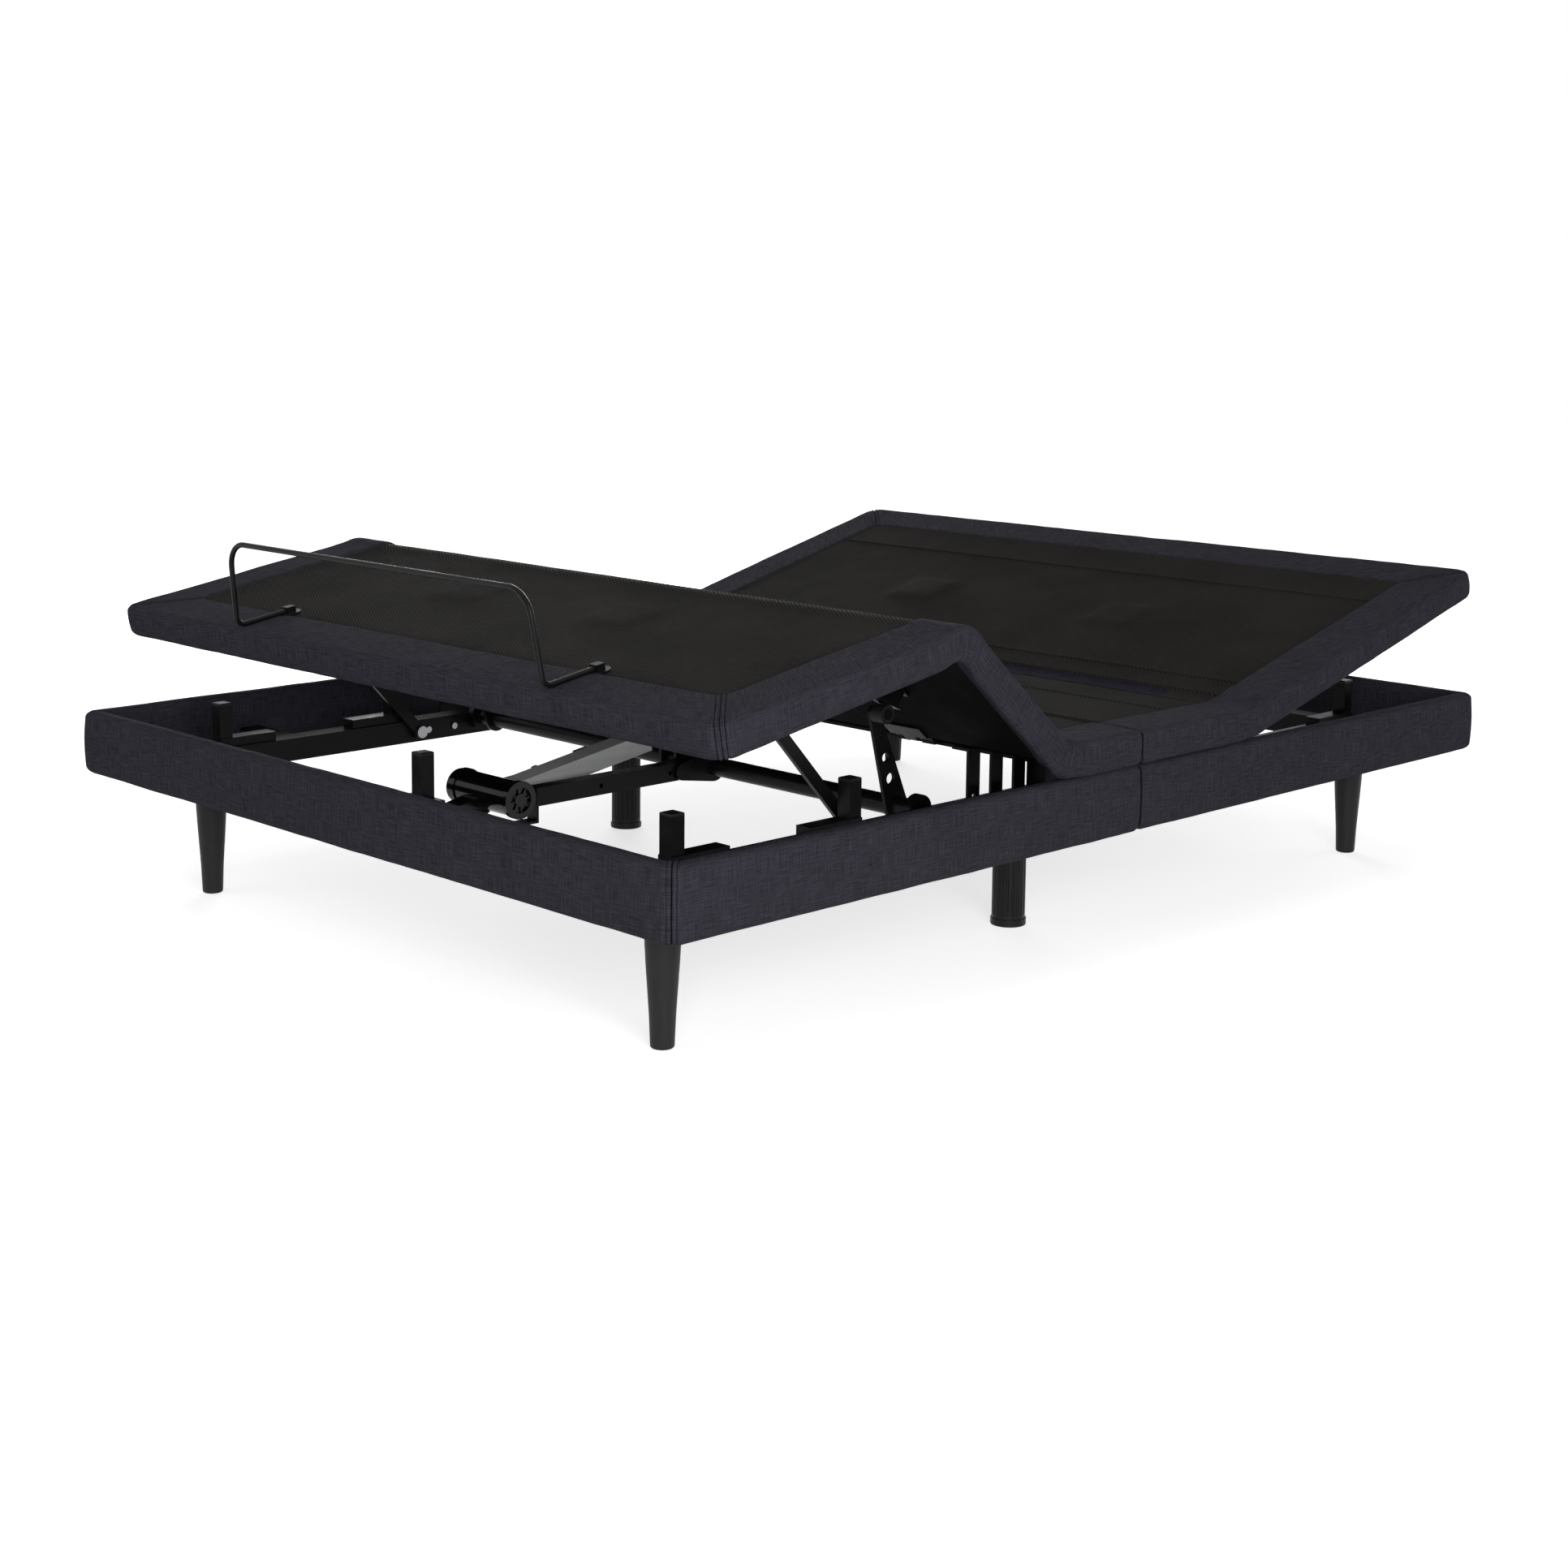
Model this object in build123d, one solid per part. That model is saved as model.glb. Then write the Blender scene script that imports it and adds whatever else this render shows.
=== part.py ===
"""Adjustable bed base: upholstered deck with raised head and knees on a steel lift frame.

Millimetres, +Z up, floor at Z = 0. X is the width; the foot end is at -Y, the head end at +Y.
The deck is drawn flat and then turned about its hinges into the raised position.
"""
import os
from math import acos, atan2, cos, degrees, hypot, pi, radians, sin, tan

from build123d import *

# Overall size and levels
WIDTH = 1524.0
LENGTH = 2032.0
RAIL_Z = 206.0
RAIL_H = 107.0
RAIL_T = 24.0
DECK_GAP = 6.0
DECK_T = 50.0

# Surround
RAIL_BOARD_T = 14.0
RAIL_PAD = 8.0
RAIL_CORNER_R = 20.0
RAIL_LOW_R = 12.0
RAIL_TOP_R = 9.0
SPLIT_Y = -12.0
SPLIT_GAP = 3.0

# Deck panels, as distances along Y when flat
HEAD_HINGE_Y = 298.0
LEG_HINGE_Y = -202.0
THIGH_LEN = 313.0
DECK_INSET = 2.0
DECK_LIP = 15.0
BOARD_T = 16.0
BOARD_INSET = 12.0
PAD_EDGE_R = 10.0
PAD_CORNER_R = 28.0
MESH_BORDER = 95.0
MESH_T = 2.0
HINGE_GAP = 2.0
PANEL_CLEAR = 1.0
KNEE_LIP = 10.0
KNEE_CLEAR = 0.3

# Raised position and largest angles, degrees
HEAD_REST = 14.6
HEAD_MAX = 60.0
LEG_REST = 41.2
LEG_MAX = 45.0
KNEE_RATIO = 1.24

# Hinges
HINGE_IN = 110.0
HINGE_LEAF = 40.0
HINGE_W = 80.0
HINGE_T = 3.0
HINGE_KNUCKLE = 27.0
KNUCKLE_R = 7.0
HINGE_PIN_R = 3.0
HINGE_ROOM = 4.0
HINGE_STEP = 12.0

# Steel frame
TUBE = 40.0
TUBE_WALL = 2.5
TUBE_Z = 236.0
SIDE_GAP = 138.0
END_GAP = 114.0
BEAM_X = 72.0
BEAM_W = 25.0
BEAM_H = 30.0
BEAM_WALL = 2.0
BEAM_HOLE_R = 4.0
BEAM_HOLES = (0.15, 0.6)
BEAM_SHORT = 147.0
STRAP_T = 4.0
SPLICE_T = 5.0
SPLICE_LEN = 180.0
BOLT_R = 4.0
BOLT_HEAD_R = 6.0
BOLT_HEAD_H = 4.0
FRAME_BOLTS = (70.0, 167.0, 226.0)
RAIL_BRACKET_Y = 250.0
RAIL_BRACKET_BACK = 140.0
RAIL_BRACKET_X = 300.0
RAIL_BRACKET_W = 40.0
RAIL_BRACKET_H = 28.0
RAIL_BRACKET_T = 4.0

# Legs
LEG_OUT_X = 6.0
LEG_OUT_Y = 14.0
LEG_TOP_R = 27.0
LEG_FOOT_R = 17.5
LEG_EASE = 4.0
MID_LEG_IN = 72.0
MID_LEG_OFF = 7.0
MID_LEG_R = 28.0
FLUTES = 20
FLUTE_R = 2.2
LEG_PLATE = 90.0
LEG_PLATE_T = 4.0
STUD_R = 5.0
STUD_LEN = 30.0
GLIDE_H = 12.0
GLIDE_LIP = 2.0

# Posts and brackets under the deck
POST = 25.0
POST_IN = 7.5
POST_Y = 290.0
POST_BAR = 98.0
POST_BAR_W = 30.0
POST_BAR_T = 16.0
POST_FOOT = 80.0
POST_FOOT_T = 4.0
CAP_H = 5.0
CAP_EASE = 2.0
CAP_GAP = 1.0
SEAT_BRACKET_LEN = 141.0
SEAT_BRACKET_END = 4.0
SEAT_BRACKET_LEG = 28.0
SEAT_BRACKET_W = 36.0
SEAT_BRACKET_T = 5.0
CONTROL_X = 240.0
CONTROL_W = 180.0
CONTROL_L = 110.0
CONTROL_H = 46.0

# Lifts: torque tube, arms, rollers, levers
TORQUE_Z = 250.0
TORQUE_R = 16.0
TORQUE_WALL = 3.0
TORQUE_END = 4.0
COLLAR_R = 26.0
COLLAR_W = 14.0
CHEEK_T = 6.0
CHEEK_R = 15.0
ARM_T = 6.0
ARM_FOOT_R = 24.0
ARM_TIP_R = 11.0
ARM_HOLE_AT = 49.0
ARM_GAP = 3.0
ROLLER_R = 15.0
ROLLER_W = 24.0
ROLLER_PIN_R = 5.0
ROLLER_GAP = 11.0
TRACK_T = 4.0
TRACK_WEB = 6.0
TRACK_SIDE = 2.0
TRACK_GAP = 0.3
LEVER_R = 56.0
LEVER_X = 19.0
LEVER_T = 6.0
PIN_R = 6.0
PIN_HEAD = 3.0
RUN_CLEAR = 0.3
PIN_CLEAR = 0.1
LEG_LIFT = dict(reach=108.0, arm=165.0, start=9.0, ratio=1.5, lever=14.0,
                holes=(9.0, 7.5, 3.0), pitch=37.0)
HEAD_LIFT = dict(reach=90.0, arm=300.0, start=9.0, ratio=1.1, lever=14.0,
                 holes=(9.0, 8.0, 7.0, 5.0), pitch=60.0)

# Actuators, along the line from the rear pivot to the lever pin
MOTOR_BACK = 41.0
MOTOR_Z = 226.0
MOTOR_AHEAD = 71.0
MOTOR_UP = 14.5
MOTOR_R = 28.0
MOTOR_LEFT = 65.0
MOTOR_RIGHT = 92.0
MOTOR_RIB = 2.5
MOTOR_RIB_W = 10.0
MOTOR_ARM_W = 35.0
MOTOR_EYE_R = 13.0
MOUNT_T = 6.0
MOUNT_EYE_R = 14.0
CHANNEL_W = 40.0
CHANNEL_H = 32.0
CHANNEL_WALL = 2.5
CHANNEL_AHEAD = 8.0
CHANNEL_PLUG = 14.0
CHANNEL_SHORT = 24.0
ROD_R = 6.0
ROD_LEN = 130.0
ROD_EYE_R = 14.0
ROD_EYE_W = 27.0
LEAD_R = 3.0
LEAD_Z = 11.0

# Struts
STRUT_GAP = 4.0
STRUT_T = 8.0
STRUT_W = 20.0
STRUT_PIVOT = 250.0
STRUT_ON_FOOT = 238.0
STRUT_DROP = 46.0
STRUT_EYE_R = 14.0
STRUT_EYE_HOLE = 9.0
STRUT_PIN_R = 4.0
STRUT_BOLT_R = 8.0
STRUT_HEAD_R = 11.0
STRUT_EAR_T = 5.0
STRUT_EAR_GAP = 2.0
STRUT_EAR_R = 10.0
STRUT_BASE = 60.0
STRUT_BASE_T = 3.0

# Massage units and mattress retainer
MASSAGE = 120.0
MASSAGE_H = 40.0
MASSAGE_FLANGE = 14.0
MASSAGE_FLANGE_T = 3.0
HEAD_UNIT_Y = 307.0
HEAD_UNIT_X = 250.0
FOOT_UNIT_Y = 161.0
FOOT_UNIT_X = 190.0
RETAINER_R = 4.5
RETAINER_X = 397.0
RETAINER_H = 146.0
RETAINER_CLIP = 105.0
RETAINER_BEND = 3.0
RETAINER_LEAN = 8.0
RETAINER_DRAW = 12.0
RETAINER_LOW_R = 16.0
RETAINER_TOP_R = 45.0
CLIP_W = 16.0
CLIP_R = 19.0

# Levels and places that follow from the sizes above
HALF_W = WIDTH / 2
HALF_L = LENGTH / 2
RAIL_TOP = RAIL_Z + RAIL_H
DECK_Z = RAIL_TOP + DECK_GAP
DECK_TOP = DECK_Z + DECK_T
AXIS_Z = DECK_Z + DECK_T / 2
BOARD_Z = DECK_Z + DECK_LIP
BOARD_TOP = BOARD_Z + BOARD_T
KNEE_Y = LEG_HINGE_Y - THIGH_LEN
FOOT_END = -HALF_L + DECK_INSET
HEAD_END = HALF_L - DECK_INSET
KNEE_REST = LEG_REST * KNEE_RATIO
KNEE_MAX = LEG_MAX * KNEE_RATIO
RAIL_IN_X = HALF_W - RAIL_T
RAIL_IN_Y = HALF_L - RAIL_T
SIDE_OUT_X = RAIL_IN_X - SIDE_GAP
INNER_X = SIDE_OUT_X - TUBE
HINGE_XS = (HINGE_IN - INNER_X, 0.0, INNER_X - HINGE_IN)
SIDE_X = SIDE_OUT_X - TUBE / 2
CROSS_OUT_Y = RAIL_IN_Y - END_GAP
CROSS_IN_Y = CROSS_OUT_Y - TUBE
CROSS_Y = CROSS_OUT_Y - TUBE / 2
TUBE_LOW = TUBE_Z - TUBE / 2
TUBE_TOP = TUBE_Z + TUBE / 2
SEAT_BAR_LOW = BOARD_Z - TUBE
PLATE_LOW = TUBE_LOW - LEG_PLATE_T
LEG_X = SIDE_X + LEG_OUT_X
LEG_Y = CROSS_Y + LEG_OUT_Y
MID_LEG_X = INNER_X - MID_LEG_IN
MID_LEG_Y = SPLIT_Y + MID_LEG_OFF
STRUT_X = INNER_X - STRUT_GAP - STRUT_T / 2
ROLLER_X = STRUT_X - STRUT_T / 2 - ROLLER_GAP - ROLLER_W / 2
ARM_X = ROLLER_X - ROLLER_W / 2 - ARM_GAP - ARM_T / 2
MOTOR_Y = CROSS_IN_Y - MOTOR_BACK
POST_END_Y = CROSS_Y - POST_IN


def block(x0, x1, y0, y1, z0, z1):
    return Pos((x0 + x1) / 2, (y0 + y1) / 2, (z0 + z1) / 2) * Box(abs(x1 - x0), abs(y1 - y0), abs(z1 - z0))


def rod_x(y, z, r, x0, x1):
    """Round bar along X."""
    return Pos((x0 + x1) / 2, y, z) * Rot(0, 90, 0) * Cylinder(r, abs(x1 - x0))


def rod_z(x, y, r, z0, z1):
    """Round bar along Z."""
    return Pos(x, y, (z0 + z1) / 2) * Cylinder(r, abs(z1 - z0))


def prism_x(points, x0, x1):
    """Outline of (y, z) points drawn out along X."""
    face = make_face(Polyline(*points, close=True))
    return extrude(Plane.YZ.offset(x0) * face, x1 - x0)


def prism_y(points, y0, y1):
    """Outline of (x, z) points drawn out along Y."""
    face = make_face(Polyline(*points, close=True))
    plane = Plane(origin=(0, y1, 0), x_dir=(1, 0, 0), z_dir=(0, -1, 0))
    return extrude(plane * face, y1 - y0)


def turn(shape, y, z, angle):
    """Turn about an X axis through (y, z)."""
    return Pos(0, y, z) * Rot(angle, 0, 0) * Pos(0, -y, -z) * shape


def turned(point, centre, angle):
    """Turn a (y, z) point about a (y, z) centre."""
    c, s = cos(radians(angle)), sin(radians(angle))
    dy, dz = point[0] - centre[0], point[1] - centre[1]
    return (centre[0] + c * dy - s * dz, centre[1] + s * dy + c * dz)


def link(p, q, r1, r2, x0, x1, holes=()):
    """Flat link between two (y, z) eyes; holes are (distance from p, radius)."""
    d = hypot(q[0] - p[0], q[1] - p[1])
    lean = acos((r1 - r2) / d)
    side = [(r1 * cos(lean), r1 * sin(lean)), (d + r2 * cos(lean), r2 * sin(lean))]
    body = make_face(Polyline(*side, (side[1][0], -side[1][1]), (side[0][0], -side[0][1]), close=True))
    sketch = Circle(r1) + Pos(d, 0) * Circle(r2) + body
    for along, radius in holes:
        sketch -= Pos(along, 0) * Circle(radius)
    plane = Plane(origin=(x0, p[0], p[1]), x_dir=(0, q[0] - p[0], q[1] - p[1]), z_dir=(1, 0, 0))
    return extrude(plane * sketch, x1 - x0)


def both_sides(shape):
    """A piece and its mirror image across the centre line."""
    return [shape, mirror(shape, Plane.YZ)]


def square_tube(x0, x1, y0, y1, low, along):
    """Square frame tube along 'x' or 'y' on a given level, open at its ends."""
    w = TUBE_WALL
    solid = block(x0, x1, y0, y1, low, low + TUBE)
    if along == "x":
        return solid - block(x0 - 1, x1 + 1, y0 + w, y1 - w, low + w, low + TUBE - w)
    return solid - block(x0 + w, x1 - w, y0 - 1, y1 + 1, low + w, low + TUBE - w)


def rounded(points, radii):
    """Wire through points, each inner corner rounded to its own radius."""
    points = [Vector(*point) for point in points]
    edges, start = [], points[0]
    for before, corner, after, radius in zip(points, points[1:], points[2:], radii):
        a, b = (before - corner).normalized(), (after - corner).normalized()
        half = radians(a.get_angle(b)) / 2
        p, q = corner + a * (radius / tan(half)), corner + b * (radius / tan(half))
        mid = corner + (a + b).normalized() * (radius / sin(half) - radius)
        edges += [Line(start, p), ThreePointArc(p, mid, q)]
        start = q
    return Wire(edges + [Line(start, points[-1])])


def edges_at(shape, level):
    """Edges that lie on one level."""
    return shape.edges().filter_by(lambda e: abs(e.center().Z - level) < 0.1)


def solids_of(shapes):
    found = []
    for shape in shapes:
        found.extend(shape.solids())
    return found


def save(name, *shapes):
    """Write one node, a single solid or a group of solids."""
    found = solids_of(shapes)
    node = found[0] if len(found) == 1 else Compound(children=found)
    node.label = name
    export_step(node, f"parts/{name}.step")


# Surround: boards and padded covers, one end and two sides to each half
def rail_half(sign):
    """Boards and covers of the foot half (sign -1) or the head half (sign +1)."""
    y_cut = SPLIT_Y + sign * SPLIT_GAP / 2
    y_in = sign * RAIL_IN_Y
    y_out = sign * HALF_L
    z0, z1 = RAIL_Z + RAIL_PAD, RAIL_TOP - RAIL_PAD
    out_x = RAIL_IN_X + RAIL_BOARD_T
    end_board = block(-out_x, out_x, y_in, y_in + sign * RAIL_BOARD_T, z0, z1)
    side_board = block(RAIL_IN_X, out_x, y_cut, y_in, z0, z1)

    end = block(-HALF_W, HALF_W, y_in, y_out, RAIL_Z, RAIL_TOP)
    corners = end.edges().filter_by(Axis.Z).filter_by(lambda e: abs(e.center().Y - y_out) < 1)
    end = fillet(corners, min(RAIL_CORNER_R, RAIL_T - 1))
    side = block(RAIL_IN_X, HALF_W, y_cut, y_in, RAIL_Z, RAIL_TOP)
    for level, radius in ((RAIL_Z, RAIL_LOW_R), (RAIL_TOP, RAIL_TOP_R)):
        rim = edges_at(end, level)
        end = fillet(rim.filter_by(lambda e: abs(e.center().Y - y_in) > 0.1 or e.length < RAIL_T), radius)
        rim = edges_at(side, level).filter_by(Axis.Y)
        side = fillet(rim.filter_by(lambda e: e.center().X > HALF_W - 1), radius)
    boards = [end_board] + both_sides(side_board)
    return boards, [end - end_board] + both_sides(side - side_board)


# Deck: pads, boards and mesh, drawn flat
def end_cut(axis, sign, top, bottom, gap):
    """Waste beyond a hinged end; sign +1 where the panel lies on the -Y side of the axis."""
    rise = DECK_T
    back = axis - sign * gap
    far = axis + sign * 2 * DECK_T
    points = [
        (back, AXIS_Z),
        (back - sign * rise * tan(radians(top)), AXIS_Z + rise),
        (far, AXIS_Z + rise),
        (far, AXIS_Z - rise),
        (back - sign * rise * tan(radians(bottom)), AXIS_Z - rise),
    ]
    return prism_x(points, -HALF_W - 1, HALF_W + 1)


def hinge_room(axis):
    """Room in the pads for the hinges on one axis."""
    room = []
    half = HINGE_W / 2 + HINGE_ROOM
    reach = HINGE_STEP + HINGE_ROOM
    for x in HINGE_XS:
        room.append(block(x - half, x + half, axis - reach, axis + reach, DECK_Z - 1, AXIS_Z))
        room.append(rod_x(axis, AXIS_Z, KNUCKLE_R + HINGE_GAP, x - half, x + half))
    return room


def knee_slab(y1):
    """Slab from y1 to the knee, where it ends in a half round about the knee's axis."""
    r = DECK_T / 2
    nose = ThreePointArc((KNEE_Y, DECK_TOP), (KNEE_Y - r, AXIS_Z), (KNEE_Y, DECK_Z))
    outline = [Line((y1, DECK_Z), (y1, DECK_TOP)), Line((y1, DECK_TOP), (KNEE_Y, DECK_TOP)), nose,
               Line((KNEE_Y, DECK_Z), (y1, DECK_Z))]
    slab = extrude(Plane.YZ.offset(-HALF_W) * make_face(outline), WIDTH)
    return fillet(slab.edges().filter_by(lambda e: abs(abs(e.center().X) - HALF_W) < 0.1), PAD_EDGE_R)


def knee_swing(board_end):
    """Room below the knee's axis in which the foot panel's hinge leaves swing."""
    half = HINGE_W / 2 + HINGE_ROOM
    return [block(x - half, x + half, KNEE_Y - DECK_T, board_end, DECK_Z - 1, AXIS_Z) for x in HINGE_XS]


def lipped(pad):
    """A pad as its upper slab and, below the board's level, a lip along each edge."""
    far = HALF_L + DECK_T
    board_x = HALF_W - BOARD_INSET
    below = pad & block(-HALF_W - 1, HALF_W + 1, -far, far, DECK_Z - 1, BOARD_Z)
    middle = block(-board_x, board_x, -far, far, DECK_Z - 1, BOARD_Z)
    return solids_of([pad - below, below - middle, below & middle])


def panel(y0, y1, ends):
    """Pads, board and mesh; an end is 'free', 'butt' or its (top, bottom, gap) cut at a hinge."""
    grow = [0 if end == "free" else DECK_T for end in ends]
    pad = block(-HALF_W, HALF_W, y0 - grow[0], y1 + grow[1], DECK_Z, DECK_TOP)
    spans = {"board": [y0, y1], "mesh": [y0, y1]}
    hollow_ends = [y0 - grow[0], y1 + grow[1]]
    for index, (axis, sign) in enumerate(((y0, -1), (y1, 1))):
        end = ends[index]
        if end == "free":
            corners = pad.edges().filter_by(Axis.Z).filter_by(lambda e: abs(e.center().Y - axis) < 1)
            pad = fillet(corners, PAD_CORNER_R)
            spans["board"][index] = hollow_ends[index] = axis - sign * BOARD_INSET
            spans["mesh"][index] = axis - sign * MESH_BORDER
    pad = fillet(edges_at(pad, DECK_Z) + edges_at(pad, DECK_TOP), PAD_EDGE_R)
    for index, (axis, sign) in enumerate(((y0, -1), (y1, 1))):
        end = ends[index]
        if end == "butt":
            pad -= block(-HALF_W - 1, HALF_W + 1, axis, axis + sign * 2 * DECK_T, DECK_Z - 1, DECK_TOP + 1)
        elif end != "free":
            top, bottom, gap = end
            pad -= end_cut(axis, sign, top, bottom, gap)
            for layer, angle, least in (("board", bottom, HINGE_STEP), ("mesh", top, gap)):
                back = PANEL_CLEAR + max(least, gap + DECK_T / 2 * tan(radians(angle)))
                spans[layer][index] = axis - sign * back
    board_x = HALF_W - BOARD_INSET
    board = block(-board_x, board_x, *spans["board"], BOARD_Z, BOARD_TOP)
    hollow = block(-board_x, board_x, *hollow_ends, DECK_Z - 1, BOARD_Z)
    for axis, sign, end in ((y0, -1, ends[0]), (y1, 1, ends[1])):
        if end == "free":
            stop = axis - sign * BOARD_INSET
            board, hollow = (
                fillet(
                    layer.edges().filter_by(Axis.Z).filter_by(lambda e: abs(e.center().Y - stop) < 1),
                    PAD_CORNER_R - BOARD_INSET,
                )
                for layer in (board, hollow)
            )
    mesh_x = HALF_W - MESH_BORDER
    mesh = block(-mesh_x, mesh_x, *spans["mesh"], DECK_TOP - MESH_T, DECK_TOP)
    if y1 == KNEE_Y:
        socket = rod_x(KNEE_Y, AXIS_Z, DECK_T / 2 + KNEE_CLEAR, -HALF_W - 1, HALF_W + 1)
        pad -= socket
        board -= socket
    if y0 == KNEE_Y:
        pad = knee_slab(y1 + DECK_T) - end_cut(y1, 1, *ends[1])
        for room in knee_swing(spans["board"][0]):
            pad -= room
    pad = pad - board - mesh - hollow
    for axis, end in zip((y0, y1), ends):
        if isinstance(end, tuple):
            for room in hinge_room(axis):
                pad -= room
    return lipped(pad), board, mesh


def hinge_leaves(axis, sign, fixed):
    """Leaves under the boards on one side of an axis; fixed leaves carry the two outer knuckles."""
    leaves = []
    low, high = BOARD_Z - HINGE_T, BOARD_Z
    half, third = HINGE_W / 2, HINGE_KNUCKLE / 2
    for x in HINGE_XS:
        spans = [(-half, -third), (third, half)] if fixed else [(RUN_CLEAR - third, third - RUN_CLEAR)]
        near = axis + sign * HINGE_STEP
        leaf = block(x - half, x + half, near, axis + sign * HINGE_LEAF, low, high)
        for a, b in spans:
            leaf += block(x + a, x + b, axis, near, low, AXIS_Z - KNUCKLE_R + 1)
            leaf += rod_x(axis, AXIS_Z, KNUCKLE_R, x + a, x + b)
        bore = HINGE_PIN_R if fixed else HINGE_PIN_R + PIN_CLEAR
        leaves.append(leaf - rod_x(axis, AXIS_Z, bore, x - half - 1, x + half + 1))
    return leaves


def hinge_pins(axis):
    return [rod_x(axis, AXIS_Z, HINGE_PIN_R, x - HINGE_W / 2, x + HINGE_W / 2) for x in HINGE_XS]


def massage_units(y, x):
    """Pair of square units let into a board from below, with a flange under the board."""
    half = MASSAGE / 2
    unit = block(x - half, x + half, y - half, y + half, BOARD_TOP - MASSAGE_H, BOARD_TOP)
    unit = fillet(unit.edges().filter_by(Axis.Z), MASSAGE_FLANGE)
    rim = half + MASSAGE_FLANGE
    unit += block(x - rim, x + rim, y - rim, y + rim, BOARD_Z - MASSAGE_FLANGE_T, BOARD_Z)
    return both_sides(unit)


# Lifts: numbers are taken in a frame whose first axis runs away from the hinge, under its panel
class Lift:
    """Torque tube, arms, lever and actuator that raise one panel."""

    def __init__(self, hinge_y, away, sizes, rest, largest):
        self.hinge = (hinge_y, AXIS_Z)
        self.away = away
        self.sizes = sizes
        self.largest = largest
        self.tube = (hinge_y + away * sizes["reach"], TORQUE_Z)
        self.motor = (away * MOTOR_Y, MOTOR_Z)
        self.beam_x = -away * BEAM_X
        self.roller = self.polar(sizes["arm"], self.arm_angle(rest))
        self.lever = self.polar(LEVER_R, sizes["lever"] + sizes["ratio"] * rest)
        self.span = hypot(self.lever[0] - self.motor[0], self.lever[1] - self.motor[1])

    def arm_angle(self, angle):
        return self.sizes["start"] + self.sizes["ratio"] * angle

    def polar(self, r, angle):
        """Point at a radius and angle about the torque tube."""
        return (self.tube[0] + self.away * r * cos(radians(angle)), self.tube[1] + r * sin(radians(angle)))

    def tracks(self):
        """Rails under the flat panel whose lower face the rollers follow through the whole lift."""
        under, centre = [], []
        steps = 24
        for i in range(-3, steps + 4):
            angle = self.largest * i / steps
            p = self.polar(self.sizes["arm"], self.arm_angle(angle))
            centre.append(turned(p, self.hinge, -self.away * angle))
        for i in range(1, len(centre) - 1):
            dy = centre[i + 1][0] - centre[i - 1][0]
            dz = centre[i + 1][1] - centre[i - 1][1]
            size = hypot(dy, dz)
            ny, nz = -dz / size, dy / size
            if nz < 0:
                ny, nz = -ny, -nz
            near = ROLLER_R + TRACK_GAP
            under.append((centre[i][0] + ny * near, centre[i][1] + nz * near, ny, nz))
        low = [(y, z) for y, z, ny, nz in under]
        high = [(y + ny * TRACK_T, z + nz * TRACK_T) for y, z, ny, nz in under]
        half = ROLLER_W / 2 + TRACK_SIDE
        x0, x1 = ROLLER_X - half, ROLLER_X + half
        y0, y1 = sorted((high[0][0], high[-1][0]))
        flange = prism_x(low + high[::-1], x0, x1)
        top = [(high[-1][0], AXIS_Z), (high[0][0], AXIS_Z)]
        web = prism_x(high + top, ROLLER_X - TRACK_WEB / 2, ROLLER_X + TRACK_WEB / 2)
        track = flange + web + block(x0, x1, y0, y1, BOARD_Z - TRACK_T, BOARD_Z)
        return both_sides(track - block(x0 - 1, x1 + 1, y0 - DECK_T, y1 + DECK_T, BOARD_Z, DECK_TOP))

    def bar(self):
        """Torque tube, pierced arms with roller pins, and the lever with its pin."""
        y, z = self.tube
        end_x = INNER_X - TORQUE_END
        tube = rod_x(y, z, TORQUE_R, -end_x, end_x)
        tube -= rod_x(y, z, TORQUE_R - TORQUE_WALL, -end_x - 1, end_x + 1)
        reach = self.sizes["arm"]
        holes = [(ARM_HOLE_AT + self.sizes["pitch"] * i, r) for i, r in enumerate(self.sizes["holes"])]
        holes += [(0, TORQUE_R), (reach, ROLLER_PIN_R)]
        x0, x1 = ARM_X - ARM_T / 2, ARM_X + ARM_T / 2
        arm = link(self.tube, self.roller, ARM_FOOT_R, ARM_TIP_R, x0, x1, holes)
        pin_end = ROLLER_X + ROLLER_W / 2 + RUN_CLEAR
        pin = rod_x(*self.roller, ROLLER_PIN_R, x0 - PIN_HEAD, pin_end + PIN_HEAD)
        pin += rod_x(*self.roller, ROLLER_PIN_R + PIN_HEAD, pin_end, pin_end + PIN_HEAD)
        pin += rod_x(*self.roller, ROLLER_PIN_R + PIN_HEAD, x0 - PIN_HEAD, x0)
        x0, x1 = LEVER_X - LEVER_T / 2, LEVER_X + LEVER_T / 2
        cheek = link(self.tube, self.lever, COLLAR_R, CHEEK_R, x0, x1, [(0, TORQUE_R), (LEVER_R, PIN_R)])
        lever_pin = rod_x(*self.lever, PIN_R, -x1 - PIN_HEAD, x1 + PIN_HEAD)
        return [tube] + both_sides(arm) + both_sides(pin) + both_sides(cheek) + [lever_pin]

    def rollers(self):
        x0, x1 = ROLLER_X - ROLLER_W / 2, ROLLER_X + ROLLER_W / 2
        roller = rod_x(*self.roller, ROLLER_R, x0, x1)
        return both_sides(roller - rod_x(*self.roller, ROLLER_PIN_R + PIN_CLEAR, x0 - 1, x1 + 1))

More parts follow.
